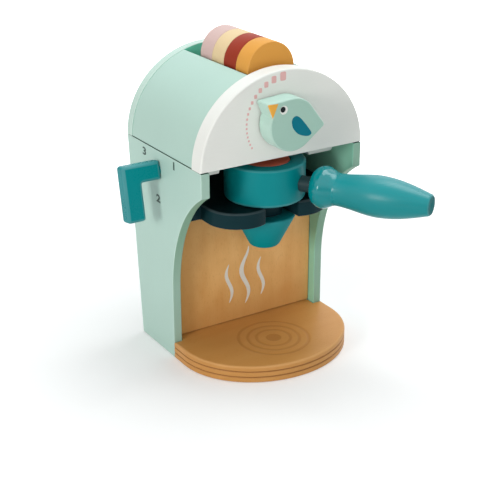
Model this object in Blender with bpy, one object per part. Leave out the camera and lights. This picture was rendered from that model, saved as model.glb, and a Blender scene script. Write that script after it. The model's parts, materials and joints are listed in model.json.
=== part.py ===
"""Wooden toy coffee maker: a painted cabinet with a bird dial, a side lever and a filter holder.

Lengths are metres. X runs to the right, Y to the rear and Z up. The origin lies on the floor,
midway between the two side panels and midway between the nose of the base and the rear.
"""

import math

import bmesh
import bpy
from mathutils import Vector

# Fits
FIT = 0.0003                    # gap between two pieces that touch
OVERRUN = 0.002                 # how far a cutter runs past the face that it cuts

# Cabinet
BODY_WIDTH = 0.140
BASE_DEPTH = 0.144              # nose of the base to the rear of the head
PANEL_THICKNESS = 0.0073
SEAM_HEIGHT = 0.1658            # top of the side panels, foot of the head
PANEL_NOSE_HEIGHT = 0.0191      # straight front edge under the seam
PANEL_CURVE_DEPTH = 0.0825      # half-axes of the hollow front curve
PANEL_CURVE_HEIGHT = 0.1002
REAR_TAPER = 0.0138             # the rear leans in this much at the floor
PANEL_EDGE = 0.0009
REAR_PANEL_THICKNESS = 0.005
BACK_PANEL_THICKNESS = 0.007
BACK_PANEL_SETBACK = 0.0074     # from the front edges of the side panels
BOARD_EDGE = 0.0005

# Base
BASE_THICKNESS = 0.0135
BASE_STRAIGHT = 0.0155          # from the side panels to where the elliptical nose begins
BASE_EDGE = 0.0016
BASE_FOOT_EDGE = 0.0005
BASE_GROOVE_DEPTH = 0.0008
BASE_GROOVE_WIDTH = 0.0012

# Head
HEAD_DEPTH = 0.1133             # rear of the head to the face of the fascia
ARCH_RISE = 0.0652
FASCIA_THICKNESS = 0.0135
FASCIA_EDGE = 0.0013
REAR_PLATE_THICKNESS = 0.0080
REAR_PLATE_EDGE = 0.0008
SHELL_THICKNESS = 0.0069
SHELL_STEP = 0.0004             # the shells lie this much inside the plates at their ends
INNER_BOARD_THICKNESS = 0.007
INNER_BOARD_DROP = 0.0125       # hangs below the fascia
INNER_BOARD_CORNER = 0.003
INNER_ARCH_SIDE = 0.009         # cup to the foot of the arched cut
INNER_ARCH_CLEARANCE = 0.009    # rim of the cup to the crown of the arched cut

# Pods and their tray
POD_RADIUS = 0.0199
POD_THICKNESS = 0.0165
POD_EDGE = 0.0007
SLOT_CLEARANCE = 0.0027
POD_SETBACK = 0.0046             # fascia to the first pod
TRAY_DEPTH = 0.0201
TRAY_FLOOR = 0.0055
TRAY_WALL = 0.007

# Filter holder
CUP_RADIUS = 0.0308
CUP_HEIGHT = 0.0293
CUP_HEADROOM = 0.0078
CUP_SETBACK = 0.0259            # face of the fascia to the axis of the cup
CUP_TOP_EDGE = 0.0016
CUP_FOOT_EDGE = 0.0030
POD_PLAY = 0.0005
POD_SINK = 0.0004               # the pod lies this far under the rim
NECK_RADIUS = 0.0138
TENON_RADIUS = 0.008
TENON_LENGTH = 0.006
SPOUT_TOP_RADIUS = 0.0238
SPOUT_TIP_RADIUS = 0.0125
SPOUT_HEIGHT = 0.0263
SPOUT_TOP_EDGE = 0.0012
SPOUT_TIP_EDGE = 0.0035
SPOUT_CLEARANCE = 0.0042        # spout to the back panel

# Fork
FORK_THICKNESS = 0.0126
FORK_SIDE_GAP = 0.0123          # a prong to its side panel
FORK_NOSE = 0.0264              # axis of the cup to the front edge
FORK_SLOT_PLAY = 0.0007
FORK_SHELF_SETBACK = 0.0097     # axis of the cup to the shelf's front edge
FORK_PRONG_RADIUS = 0.0253      # round end of a prong
FORK_TOP_EDGE = 0.0026
FORK_FOOT_EDGE = 0.0008

# Handle
HANDLE_AZIMUTH = math.radians(30.5)
HANDLE_RISE = 0.0142            # foot of the cup to the axis of the handle
HANDLE_STANDOFF = 0.0096        # cup to the bulb
HANDLE_LENGTH = 0.0909
BULB_FACE_RADIUS = 0.0083
BULB_RADIUS = 0.0159
WAIST_RADIUS = 0.0121
GRIP_RADIUS = 0.0153
TIP_RADIUS = 0.0076
TIP_EDGE = 0.0010
BULB_SHARE = 0.10               # where along the handle its widths change
WAIST_SHARE = 0.22
GRIP_SHARE = 0.565
DOWEL_RADIUS = 0.0061
DOWEL_CUP_DEPTH = 0.006
DOWEL_GRIP_DEPTH = 0.015

# Dial knob
KNOB_RISE = 0.0282              # seam to the axis of the knob
KNOB_THICKNESS = 0.0150
BIRD_RADIUS = 0.0194
BIRD_SHIFT = 0.0033             # the body sits this far left of the axis, and
BIRD_LIFT = 0.0009              # this far above it
BEAK_REACH = 0.0282
BEAK_ANGLE = math.radians(141)
BEAK_FOOT_ANGLE = math.radians(156)
BEAK_CORNER = 0.0012
TAIL_REACH = 0.0277
TAIL_ANGLE = math.radians(-8)
TAIL_CORNER = 0.0024
KNOB_FRONT_EDGE = 0.0010
KNOB_REAR_EDGE = 0.0006

# Side lever
LEVER_SETBACK = 0.0644          # face of the fascia to the pivot
LEVER_DROP = 0.0149             # seam to the pivot
LEVER_TILT = math.radians(10.4)
LEVER_ARM_HEIGHT = 0.0141
LEVER_GRIP_WIDTH = 0.0148
LEVER_REACH = 0.0299
LEVER_LENGTH = 0.0427
LEVER_DEPTH = 0.0112
LEVER_EDGE = 0.0018

# Axles of the knob and the lever
AXLE_RADIUS = 0.004
AXLE_SEAT = 0.009               # length of the axle inside the knob or the lever
WASHER_THICKNESS = 0.0008
WASHER_RADIUS = 0.0052
COLLAR_THICKNESS = 0.005
COLLAR_RADIUS = 0.0062
COLLAR_EDGE = 0.0006

# Joining pins
PIN_RADIUS = 0.0015
PIN_LENGTH = 0.0140
PIN_EDGE = 0.0003
PIN_MARGIN = 0.012              # end of a joint to its nearest pin

# Facets
ROUND_STEPS = 42
SMALL_STEPS = 18
PIN_STEPS = 10
ARCH_STEPS = 36
CORNER_STEPS = 4
HANDLE_STEPS = 15               # rings from the widest part of the bulb to the tip
HANDLE_SIDES = 24
RING_STEPS = 24
FINE_STEPS = 3                  # segments of a rounded edge
PLAIN_STEPS = 2
CHAMFER_STEPS = 1
ROUND_SHARE = 0.5               # bevel profile of a round edge
SHARP_ANGLE = math.radians(35)

# Places that follow from the sizes
HALF_WIDTH = BODY_WIDTH / 2
INNER_HALF = HALF_WIDTH - PANEL_THICKNESS
BOARD_HALF = INNER_HALF - FIT
REAR_Y = BASE_DEPTH / 2
NOSE_Y = -BASE_DEPTH / 2
FASCIA_Y = REAR_Y - HEAD_DEPTH
FASCIA_BACK_Y = FASCIA_Y + FASCIA_THICKNESS
REAR_PLATE_Y = REAR_Y - REAR_PLATE_THICKNESS
CUP_Y = FASCIA_Y + CUP_SETBACK
BACK_PANEL_Y = CUP_Y + SPOUT_TOP_RADIUS + SPOUT_CLEARANCE
COLUMN_Y = BACK_PANEL_Y - BACK_PANEL_SETBACK
SHELL_INSIDE = SHELL_STEP + SHELL_THICKNESS
CUP_TOP_Z = SEAM_HEIGHT - CUP_HEADROOM
CUP_FOOT_Z = CUP_TOP_Z - CUP_HEIGHT
FORK_TOP_Z = CUP_FOOT_Z - FIT
FORK_FOOT_Z = FORK_TOP_Z - FORK_THICKNESS
NECK_FOOT_Z = FORK_FOOT_Z - FIT
SPOUT_TOP_Z = NECK_FOOT_Z - FIT
SLOT_HALF = POD_RADIUS + SLOT_CLEARANCE
SLOT_EDGE_Z = SEAM_HEIGHT + (ARCH_RISE - SHELL_STEP) * math.sqrt(
    1 - (SLOT_HALF / (HALF_WIDTH - SHELL_STEP)) ** 2)
TRAY_TOP_Z = SLOT_EDGE_Z - TRAY_DEPTH
TRAY_FOOT_Z = TRAY_TOP_Z - TRAY_FLOOR
KNOB_Z = SEAM_HEIGHT + KNOB_RISE
STAND_GAP = WASHER_THICKNESS + 2 * FIT
LEVER_Y = FASCIA_Y + LEVER_SETBACK
LEVER_Z = SEAM_HEIGHT - LEVER_DROP
AXLE_BORE = AXLE_RADIUS + FIT
HANDLE_START = CUP_RADIUS + HANDLE_STANDOFF


def rear_y(height):
    """Y of the leaning rear edge of the side panels at a height."""
    return REAR_Y - REAR_TAPER * (SEAM_HEIGHT - height) / SEAM_HEIGHT


def rear_panel_front(height):
    """Y of the front face of the rear panel at a height."""
    return rear_y(height) - REAR_PANEL_THICKNESS


# Placing functions turn an outline's two numbers and a height over it into a point.
def seen_from_front(u, v, w):
    return (u, w, v)


def seen_from_side(u, v, w):
    return (w, u, v)


def seen_from_above(u, v, w):
    return (u, v, w)


def arc(centre, radius, start, end, steps):
    """Points of an arc, both ends included."""
    turn = (end - start) / steps
    return [(centre[0] + radius * math.cos(start + turn * i),
             centre[1] + radius * math.sin(start + turn * i)) for i in range(steps + 1)]


def rounded(corners):
    """An outline from (u, v, radius) corners, each rounded by an arc of its radius."""
    points = []
    for i, (u, v, radius) in enumerate(corners):
        if radius == 0:
            points.append((u, v))
            continue
        corner = Vector((u, v))
        back = (Vector(corners[i - 1][:2]) - corner).normalized()
        ahead = (Vector(corners[(i + 1) % len(corners)][:2]) - corner).normalized()
        half = back.angle(ahead) / 2
        centre = corner + (back + ahead).normalized() * radius / math.sin(half)
        first, last = (corner + side * radius / math.tan(half) - centre for side in (back, ahead))
        start = math.atan2(first.y, first.x)
        sweep = (math.atan2(last.y, last.x) - start + math.pi) % math.tau - math.pi
        points += arc(centre, radius, start, start + sweep, CORNER_STEPS)
    return points


def prism(outline, low, high, place, low_edge=0, high_edge=0, segments=PLAIN_STEPS):
    """A solid between two heights over an outline, with its two rims rounded."""
    bm = bmesh.new()
    caps = [bm.faces.new([bm.verts.new(place(u, v, w)) for u, v in outline]) for w in (low, high)]
    count = len(outline)
    foot, top = (list(cap.verts) for cap in caps)
    for i in range(count):
        bm.faces.new((foot[i], foot[(i + 1) % count], top[(i + 1) % count], top[i]))
    bmesh.ops.recalc_face_normals(bm, faces=bm.faces)
    for cap, width in zip(caps, (low_edge, high_edge)):
        if width:
            bmesh.ops.bevel(bm, geom=list(cap.edges), offset=width, segments=segments,
                            profile=ROUND_SHARE, affect="EDGES")
    return bm


def turned(profile, steps):
    """A solid turned about Z from (radius, height) points that start and end on the axis."""
    bm = bmesh.new()
    rings = []
    for radius, height in profile:
        if radius == 0:
            rings.append([bm.verts.new((0, 0, height))])
        else:
            rings.append([bm.verts.new((radius * math.cos(math.tau * i / steps),
                                        radius * math.sin(math.tau * i / steps), height))
                          for i in range(steps)])
    for near, far in zip(rings, rings[1:]):
        for i in range(steps):
            j = (i + 1) % steps
            corners = [near[i % len(near)], near[j % len(near)], far[j % len(far)], far[i % len(far)]]
            bm.faces.new(list(dict.fromkeys(corners)))
    bmesh.ops.recalc_face_normals(bm, faces=bm.faces)
    return bm


def pipe(inner, outer, low, high, steps, edge=0):
    """A ring turned about Z, its outer rims rounded by an edge."""
    bm = bmesh.new()
    profile = [(inner, low), (outer - edge, low), (outer, low + edge), (outer, high - edge),
               (outer - edge, high), (inner, high)]
    if not edge:
        profile = [(inner, low), (outer, low), (outer, high), (inner, high)]
    rings = [[bm.verts.new((radius * math.cos(math.tau * i / steps),
                            radius * math.sin(math.tau * i / steps), height))
              for i in range(steps)] for radius, height in profile]
    for near, far in zip(rings, rings[1:] + rings[:1]):
        for i in range(steps):
            j = (i + 1) % steps
            bm.faces.new((near[i], near[j], far[j], far[i]))
    bmesh.ops.recalc_face_normals(bm, faces=bm.faces)
    return bm


def rod(radius, low, high, steps, edge=0):
    """A round rod about Z with eased ends."""
    if edge:
        return turned([(0, low), (radius - edge, low), (radius, low + edge), (radius, high - edge),
                       (radius - edge, high), (0, high)], steps)
    return turned([(0, low), (radius, low), (radius, high), (0, high)], steps)


def quarter(centre_r, centre_h, radius, start):
    """A quarter-round of a turned profile, from a start angle onwards."""
    return arc((centre_r, centre_h), radius, start, start + math.pi / 2, CORNER_STEPS)


def paint(name, colour, roughness):
    material = bpy.data.materials.new(name)
    material.use_nodes = True
    shader = material.node_tree.nodes["Principled BSDF"]
    shader.inputs["Base Color"].default_value = (*colour, 1)
    shader.inputs["Roughness"].default_value = roughness
    shader.inputs["Metallic"].default_value = 0
    material.diffuse_color = (*colour, 1)
    return material


def node(name, bm, colour, parent=None, location=(0, 0, 0), rotation=(0, 0, 0), finish="satin"):
    """Name a finished mesh as one piece of the toy."""
    mesh = bpy.data.meshes.new(name)
    bm.to_mesh(mesh)
    bm.free()
    mesh.materials.append(paint(name, colour, ROUGHNESS[finish]))
    mesh.shade_smooth()
    mesh.set_sharp_from_angle(angle=SHARP_ANGLE)
    piece = bpy.data.objects.new(name, mesh)
    bpy.context.scene.collection.objects.link(piece)
    piece.location = location
    piece.rotation_euler = rotation
    piece.parent = parent
    return piece


def pivot(name, location, rotation=(0, 0, 0)):
    empty = bpy.data.objects.new(name, None)
    bpy.context.scene.collection.objects.link(empty)
    empty.location = location
    empty.rotation_euler = rotation
    return empty


def cut(piece, name, bm, location=(0, 0, 0), rotation=(0, 0, 0), parent=None):
    """Cut a shape out of a piece."""
    mesh = bpy.data.meshes.new(name)
    bm.to_mesh(mesh)
    bm.free()
    cutter = bpy.data.objects.new(name, mesh)
    bpy.context.scene.collection.objects.link(cutter)
    cutter.location = location
    cutter.rotation_euler = rotation
    cutter.parent = parent
    cutter.hide_render = True
    cutter.display_type = "WIRE"
    modifier = piece.modifiers.new(name, "BOOLEAN")
    modifier.operation = "DIFFERENCE"
    modifier.solver = "EXACT"
    modifier.object = cutter


# Colours and finishes of the paints and the wood
MINT = (0.47, 0.66, 0.58)
WHITE = (0.72, 0.72, 0.68)
TEAL = (0.0, 0.215, 0.22)
NAVY = (0.024, 0.045, 0.066)
OAK = (0.46, 0.26, 0.10)
PALE_WOOD = (0.62, 0.45, 0.27)
PINK = (0.68, 0.45, 0.46)
CREAM = (0.85, 0.68, 0.40)
DARK_RED = (0.35, 0.045, 0.025)
MUSTARD = (0.73, 0.31, 0.046)
BRICK = (0.42, 0.09, 0.04)
ROUGHNESS = {"satin": 0.45, "gloss": 0.25}

ALONG_X = (0, math.pi / 2, 0)
ALONG_Y = (-math.pi / 2, 0, 0)


# Base
def base_outline(inset):
    """The base from above: an elliptical nose, then a tongue between the side panels."""
    centre_y = COLUMN_Y - FIT - BASE_STRAIGHT
    nose = centre_y - NOSE_Y - inset
    half = HALF_WIDTH - inset
    front = [(half * math.cos(math.pi + math.pi * i / ARCH_STEPS),
              centre_y + nose * math.sin(math.pi + math.pi * i / ARCH_STEPS))
             for i in range(ARCH_STEPS + 1)]
    shoulder = COLUMN_Y - FIT - inset
    tongue = BOARD_HALF - inset
    rear = rear_panel_front(0) - FIT - inset
    return front + [(half, shoulder), (tongue, shoulder), (tongue, rear),
                    (-tongue, rear), (-tongue, shoulder), (-half, shoulder)]


def base_plate():
    """The base with its eased rims and the two grooves that run round its edge."""
    third = BASE_THICKNESS / 3
    groove = BASE_GROOVE_WIDTH / 2
    levels = [(0, BASE_FOOT_EDGE), (BASE_FOOT_EDGE, 0)]
    for height in (third, third + third):
        levels += [(height - groove, 0), (height, BASE_GROOVE_DEPTH), (height + groove, 0)]
    levels += [(height, -reach) for reach, height in
               arc((-BASE_EDGE, BASE_THICKNESS - BASE_EDGE), BASE_EDGE, 0, math.pi / 2,
                   CORNER_STEPS)]
    bm = bmesh.new()
    loops = [[bm.verts.new((x, y, height)) for x, y in base_outline(inset)]
             for height, inset in levels]
    count = len(loops[0])
    for low, high in zip(loops, loops[1:]):
        for i in range(count):
            j = (i + 1) % count
            bm.faces.new((low[i], low[j], high[j], high[i]))
    bm.faces.new(loops[0])
    bm.faces.new(loops[-1])
    bmesh.ops.recalc_face_normals(bm, faces=bm.faces)
    return node("base_plate", bm, OAK)


# Cabinet
def side_panel_outline():
    """A side panel from the side: a straight nose, a hollow front curve and a leaning rear."""
    sweep = math.acos(1 - (COLUMN_Y - FASCIA_Y) / PANEL_CURVE_DEPTH)
    curve_foot = SEAM_HEIGHT - PANEL_NOSE_HEIGHT - PANEL_CURVE_HEIGHT * math.sin(sweep)
    top = SEAM_HEIGHT - FIT
    turns = [sweep * i / SMALL_STEPS for i in range(SMALL_STEPS + 1)]
    curve = [(COLUMN_Y - PANEL_CURVE_DEPTH * (1 - math.cos(turn)),
              curve_foot + PANEL_CURVE_HEIGHT * math.sin(turn)) for turn in turns]
    return [(COLUMN_Y, 0)] + curve + [(FASCIA_Y, top), (REAR_Y, top), (rear_y(0), 0)]


def side_panel(name, side):
    low, high = sorted((side * INNER_HALF, side * HALF_WIDTH))
    bm = prism(side_panel_outline(), low, high, seen_from_side, PANEL_EDGE, PANEL_EDGE)
    return node(name, bm, MINT)


def upright_board(name, y, thickness, low, high, colour):
    """A plain board that stands across the cabinet between its side panels."""
    outline = [(-BOARD_HALF, low), (BOARD_HALF, low), (BOARD_HALF, high), (-BOARD_HALF, high)]
    bm = prism(outline, y, y + thickness, seen_from_front, BOARD_EDGE, BOARD_EDGE, CHAMFER_STEPS)
    return node(name, bm, colour)


def rear_panel():
    """The board that closes the leaning rear of the cabinet."""
    top = SEAM_HEIGHT - FIT
    outline = [(rear_panel_front(0), 0), (rear_panel_front(top), top), (rear_y(top), top),
               (rear_y(0), 0)]
    return node("rear_panel", prism(outline, -BOARD_HALF, BOARD_HALF, seen_from_side), MINT)


# Head
def arch(inset, start, end, steps):
    """A stretch of the head's half ellipse from the front, drawn in by an inset."""
    turns = [start + (end - start) * i / steps for i in range(steps + 1)]
    return [((HALF_WIDTH - inset) * math.cos(turn), SEAM_HEIGHT + (ARCH_RISE - inset) * math.sin(turn))
            for turn in turns]


def arch_turn(inset, x):
    """Where the arch is this far from the middle plane."""
    return math.acos(x / (HALF_WIDTH - inset))


def front_fascia():
    bm = prism(arch(0, 0, math.pi, ARCH_STEPS), FASCIA_Y, FASCIA_BACK_Y, seen_from_front,
               FASCIA_EDGE, REAR_PLATE_EDGE, FINE_STEPS)
    return node("front_fascia", bm, WHITE)


def rear_arch_plate():
    bm = prism(arch(0, 0, math.pi, ARCH_STEPS), REAR_PLATE_Y, REAR_Y, seen_from_front,
               REAR_PLATE_EDGE, REAR_PLATE_EDGE)
    return node("rear_arch_plate", bm, MINT)


def dome_shell(name, side):
    """One curved half of the head, from the seam up to the edge of the pod slot."""
    outline = (arch(SHELL_STEP, 0, arch_turn(SHELL_STEP, SLOT_HALF), SMALL_STEPS)
               + arch(SHELL_INSIDE, arch_turn(SHELL_INSIDE, SLOT_HALF), 0, SMALL_STEPS))
    outline = [(side * x, z) for x, z in outline]
    bm = prism(outline, FASCIA_BACK_Y + FIT, REAR_PLATE_Y - FIT, seen_from_front)
    return node(name, bm, MINT)


def inner_board():
    """The upright board behind the fascia: the knob's axle runs in it, the cup passes under."""
    inset = SHELL_INSIDE + FIT
    foot = SEAM_HEIGHT - INNER_BOARD_DROP
    top = TRAY_FOOT_Z - FIT
    crown = CUP_TOP_Z + INNER_ARCH_CLEARANCE - foot
    arch_half = CUP_RADIUS + INNER_ARCH_SIDE
    side = arch(inset, 0, math.asin((top - SEAM_HEIGHT) / (ARCH_RISE - inset)), SMALL_STEPS)
    cut_out = [(arch_half * math.cos(math.pi * i / SMALL_STEPS),
                foot + crown * math.sin(math.pi * i / SMALL_STEPS)) for i in range(SMALL_STEPS + 1)]
    corner = INNER_BOARD_CORNER
    lower = arc((BOARD_HALF - corner, foot + corner), corner, -math.pi / 2, 0, CORNER_STEPS)
    right = lower + [(BOARD_HALF, SEAM_HEIGHT - FIT)] + side
    left = [(-x, z) for x, z in reversed(right)]
    y = CUP_Y - FIT
    bm = prism(right + left + cut_out[::-1], y, y + INNER_BOARD_THICKNESS, seen_from_front,
               BOARD_EDGE, BOARD_EDGE, CHAMFER_STEPS)
    return node("inner_board", bm, WHITE)


def pod_tray():
    """The trough under the slot, its walls cut to the curve of the shells."""
    inset = SHELL_INSIDE + FIT
    outer = SLOT_HALF + TRAY_WALL
    lip = arch(inset, arch_turn(inset, outer), arch_turn(inset, SLOT_HALF), CORNER_STEPS)
    right = [(outer, TRAY_FOOT_Z)] + lip + [(SLOT_HALF, TRAY_TOP_Z)]
    left = [(-x, z) for x, z in reversed(right)]
    bm = prism(right + left, FASCIA_BACK_Y + FIT, REAR_PLATE_Y - FIT, seen_from_front)
    return node("pod_tray", bm, MINT)


# Fork
def fork_outline():
    """The fork from above: a shelf between the side panels with two round-ended prongs."""
    slot = NECK_RADIUS + FORK_SLOT_PLAY
    side = INNER_HALF - FORK_SIDE_GAP
    centre = (FORK_PRONG_RADIUS - side, FORK_PRONG_RADIUS - FORK_NOSE)
    last = math.tau - math.acos((-slot - centre[0]) / FORK_PRONG_RADIUS)
    left = [(-BOARD_HALF, rear_panel_front(FORK_FOOT_Z) - FIT - CUP_Y),
            (-BOARD_HALF, FORK_SHELF_SETBACK), (-side, FORK_SHELF_SETBACK)]
    left += arc(centre, FORK_PRONG_RADIUS, math.pi, last, SMALL_STEPS)
    left += arc((0, 0), slot, math.pi, math.pi / 2, SMALL_STEPS // 2)
    outline = left + [(-x, y) for x, y in reversed(left[:-1])]
    return [(x, y + CUP_Y) for x, y in outline]


def filter_fork():
    bm = prism(fork_outline(), FORK_FOOT_Z, FORK_TOP_Z, seen_from_above, FORK_FOOT_EDGE,
               FORK_TOP_EDGE, FINE_STEPS)
    return node("filter_fork", bm, NAVY)


# Pods
def pod_mesh():
    return rod(POD_RADIUS, -POD_THICKNESS / 2, POD_THICKNESS / 2, ROUND_STEPS, POD_EDGE)


def stacked_pods():
    """Four pods that lie on edge in the tray, one behind the other."""
    stack = (("pod_mustard", MUSTARD), ("pod_dark_red", DARK_RED), ("pod_cream", CREAM),
             ("pod_pink", PINK))
    for i, (name, colour) in enumerate(stack):
        y = FASCIA_BACK_Y + POD_SETBACK + POD_THICKNESS / 2 + i * (POD_THICKNESS + FIT)
        node(name, pod_mesh(), colour, location=(0, y, TRAY_TOP_Z + POD_RADIUS + FIT),
             rotation=ALONG_Y)


# Filter holder, about the axis of the cup, with its handle along X before it is turned
def filter_holder():
    turn = HANDLE_AZIMUTH - math.pi / 2
    axis = pivot("filter_axis", (0, CUP_Y, 0), (0, 0, turn))
    bore = POD_RADIUS + POD_PLAY
    bore_floor = CUP_TOP_Z - POD_SINK - POD_THICKNESS - FIT
    mouth = CUP_TOP_EDGE / 2
    tenon = TENON_RADIUS + FIT
    handle_z = CUP_FOOT_Z + HANDLE_RISE
    cup = [(0, CUP_FOOT_Z + TENON_LENGTH + FIT), (tenon, CUP_FOOT_Z + TENON_LENGTH + FIT),
           (tenon, CUP_FOOT_Z)]
    cup += quarter(CUP_RADIUS - CUP_FOOT_EDGE, CUP_FOOT_Z + CUP_FOOT_EDGE, CUP_FOOT_EDGE,
                   -math.pi / 2)
    cup += quarter(CUP_RADIUS - CUP_TOP_EDGE, CUP_TOP_Z - CUP_TOP_EDGE, CUP_TOP_EDGE, 0)
    cup += [(bore + mouth, CUP_TOP_Z), (bore, CUP_TOP_Z - mouth), (bore, bore_floor),
            (0, bore_floor)]
    filter_cup = node("filter_cup", turned(cup, ROUND_STEPS), TEAL, axis)
    hole = rod(DOWEL_RADIUS + FIT, CUP_RADIUS - DOWEL_CUP_DEPTH - FIT, CUP_RADIUS + OVERRUN,
               SMALL_STEPS)
    cut(filter_cup, "cup_dowel_hole", hole, (0, 0, handle_z), ALONG_X, axis)

    neck_top = FORK_TOP_Z
    neck = [(0, NECK_FOOT_Z - TENON_LENGTH), (TENON_RADIUS, NECK_FOOT_Z - TENON_LENGTH),
            (TENON_RADIUS, NECK_FOOT_Z), (NECK_RADIUS, NECK_FOOT_Z), (NECK_RADIUS, neck_top),
            (TENON_RADIUS, neck_top), (TENON_RADIUS, neck_top + TENON_LENGTH),
            (0, neck_top + TENON_LENGTH)]
    node("filter_neck", turned(neck, RING_STEPS), NAVY, axis)

    spout_foot = SPOUT_TOP_Z - SPOUT_HEIGHT
    spout = [(0, spout_foot), (SPOUT_TIP_RADIUS - SPOUT_TIP_EDGE, spout_foot)]
    spout += spout_tip(spout_foot)
    spout += [(SPOUT_TOP_RADIUS, SPOUT_TOP_Z - SPOUT_TOP_EDGE),
              (SPOUT_TOP_RADIUS - SPOUT_TOP_EDGE, SPOUT_TOP_Z), (tenon, SPOUT_TOP_Z),
              (tenon, SPOUT_TOP_Z - TENON_LENGTH - FIT), (0, SPOUT_TOP_Z - TENON_LENGTH - FIT)]
    node("filter_spout", turned(spout, ROUND_STEPS), TEAL, axis)

    node("handle_dowel", rod(DOWEL_RADIUS, CUP_RADIUS - DOWEL_CUP_DEPTH,
                             HANDLE_START + DOWEL_GRIP_DEPTH, SMALL_STEPS),
         NAVY, axis, (0, 0, handle_z), ALONG_X)
    node("filter_handle", turned(handle_profile(), HANDLE_SIDES), TEAL, axis, (0, 0, handle_z),
         ALONG_X, "gloss")

    pod_z = CUP_TOP_Z - POD_SINK - POD_THICKNESS / 2
    node("pod_loaded", pod_mesh(), BRICK, location=(0, CUP_Y, pod_z))


def spout_tip(foot):
    """The rounded rim where the spout's flat tip meets its cone."""
    slope = math.atan2(SPOUT_HEIGHT, SPOUT_TOP_RADIUS - SPOUT_TIP_RADIUS)
    start = -math.pi / 2
    centre = (SPOUT_TIP_RADIUS - SPOUT_TIP_EDGE, foot + SPOUT_TIP_EDGE)
    return arc(centre, SPOUT_TIP_EDGE, start, slope - math.pi / 2, CORNER_STEPS)[1:]


def eased(start, end, share):
    """A blend between two sizes that is level at both ends."""
    return start + (end - start) * (1 - math.cos(math.pi * share)) / 2


def handle_radius(share):
    """Half-width of the turned handle: a bulb, a waist, a full grip and a narrow tip."""
    if share <= BULB_SHARE:
        rise = math.sqrt(1 - (1 - share / BULB_SHARE) ** 2)
        return BULB_FACE_RADIUS + (BULB_RADIUS - BULB_FACE_RADIUS) * rise
    if share <= WAIST_SHARE:
        return eased(BULB_RADIUS, WAIST_RADIUS, (share - BULB_SHARE) / (WAIST_SHARE - BULB_SHARE))
    if share <= GRIP_SHARE:
        return eased(WAIST_RADIUS, GRIP_RADIUS, (share - WAIST_SHARE) / (GRIP_SHARE - WAIST_SHARE))
    fall = (share - GRIP_SHARE) / (1 - GRIP_SHARE)
    return TIP_RADIUS + (GRIP_RADIUS - TIP_RADIUS) * math.cos(math.pi / 2 * fall)


def handle_profile():
    """The handle with the blind hole for its dowel, from the hole's end to the tip."""
    hole = DOWEL_RADIUS + FIT
    hole_end = HANDLE_START + DOWEL_GRIP_DEPTH + FIT
    profile = [(0, hole_end), (hole, hole_end), (hole, HANDLE_START)]
    body = HANDLE_LENGTH - TIP_EDGE
    shares = [BULB_SHARE * (1 - math.cos(math.pi / 2 * i / CORNER_STEPS))
              for i in range(CORNER_STEPS)]
    shares += [BULB_SHARE + (1 - BULB_SHARE) * i / HANDLE_STEPS for i in range(HANDLE_STEPS + 1)]
    profile += [(handle_radius(share), HANDLE_START + body * share) for share in shares]
    return profile + [(TIP_RADIUS - TIP_EDGE, HANDLE_START + HANDLE_LENGTH),
                      (0, HANDLE_START + HANDLE_LENGTH)]


# Knob
def bird_outline():
    """A round bird: a circle with a pointed beak, drawn out to a tail along its tangents."""
    beak = math.acos(BIRD_RADIUS / BEAK_REACH)
    tail = math.acos(BIRD_RADIUS / TAIL_REACH)
    middle = (-BIRD_SHIFT, BIRD_LIFT)
    beak_tip = (middle[0] + BEAK_REACH * math.cos(BEAK_ANGLE),
                middle[1] + BEAK_REACH * math.sin(BEAK_ANGLE), BEAK_CORNER)
    tail_tip = (middle[0] + TAIL_REACH * math.cos(TAIL_ANGLE),
                middle[1] + TAIL_REACH * math.sin(TAIL_ANGLE), TAIL_CORNER)
    top = arc(middle, BIRD_RADIUS, TAIL_ANGLE + tail, BEAK_ANGLE - beak, SMALL_STEPS)
    foot = arc(middle, BIRD_RADIUS, BEAK_FOOT_ANGLE, math.tau + TAIL_ANGLE - tail, ARCH_STEPS)
    corners = [(u, v, 0) for u, v in top] + [beak_tip] + [(u, v, 0) for u, v in foot] + [tail_tip]
    return rounded(corners)


def dial_knob():
    axis = pivot("knob_axis", (0, FASCIA_Y, KNOB_Z))
    rear = -STAND_GAP
    front = rear - KNOB_THICKNESS
    bm = prism(bird_outline(), front, rear, seen_from_front, KNOB_FRONT_EDGE, KNOB_REAR_EDGE)
    knob = node("bird_knob", bm, MINT, axis)
    cut(knob, "knob_bore", rod(AXLE_BORE, -AXLE_SEAT - FIT, OVERRUN, SMALL_STEPS),
        (0, rear, 0), ALONG_Y, axis)
    back = CUP_Y - FIT + INNER_BOARD_THICKNESS - FASCIA_Y
    node("knob_axle", rod(AXLE_RADIUS, rear - AXLE_SEAT, back + FIT + COLLAR_THICKNESS,
                          SMALL_STEPS, COLLAR_EDGE), PALE_WOOD, axis, (0, 0, 0), ALONG_Y)
    node("knob_washer", pipe(AXLE_BORE, WASHER_RADIUS, -FIT - WASHER_THICKNESS, -FIT, RING_STEPS),
         PALE_WOOD, axis, (0, 0, 0), ALONG_Y)
    node("knob_collar", pipe(AXLE_BORE, COLLAR_RADIUS, back + FIT, back + FIT + COLLAR_THICKNESS,
                             RING_STEPS, COLLAR_EDGE), PALE_WOOD, axis, (0, 0, 0), ALONG_Y)


# Lever, about its pivot on the outer face of the left side panel
def lever_outline():
    """The lever from the front: an arm that stands out of the panel, then a grip that hangs."""
    inner = -STAND_GAP
    outer = inner - LEVER_REACH
    top = LEVER_ARM_HEIGHT / 2
    foot = top - LEVER_LENGTH
    return [(inner, top), (outer, top), (outer, foot), (outer + LEVER_GRIP_WIDTH, foot),
            (outer + LEVER_GRIP_WIDTH, -top), (inner, -top)]


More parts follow.
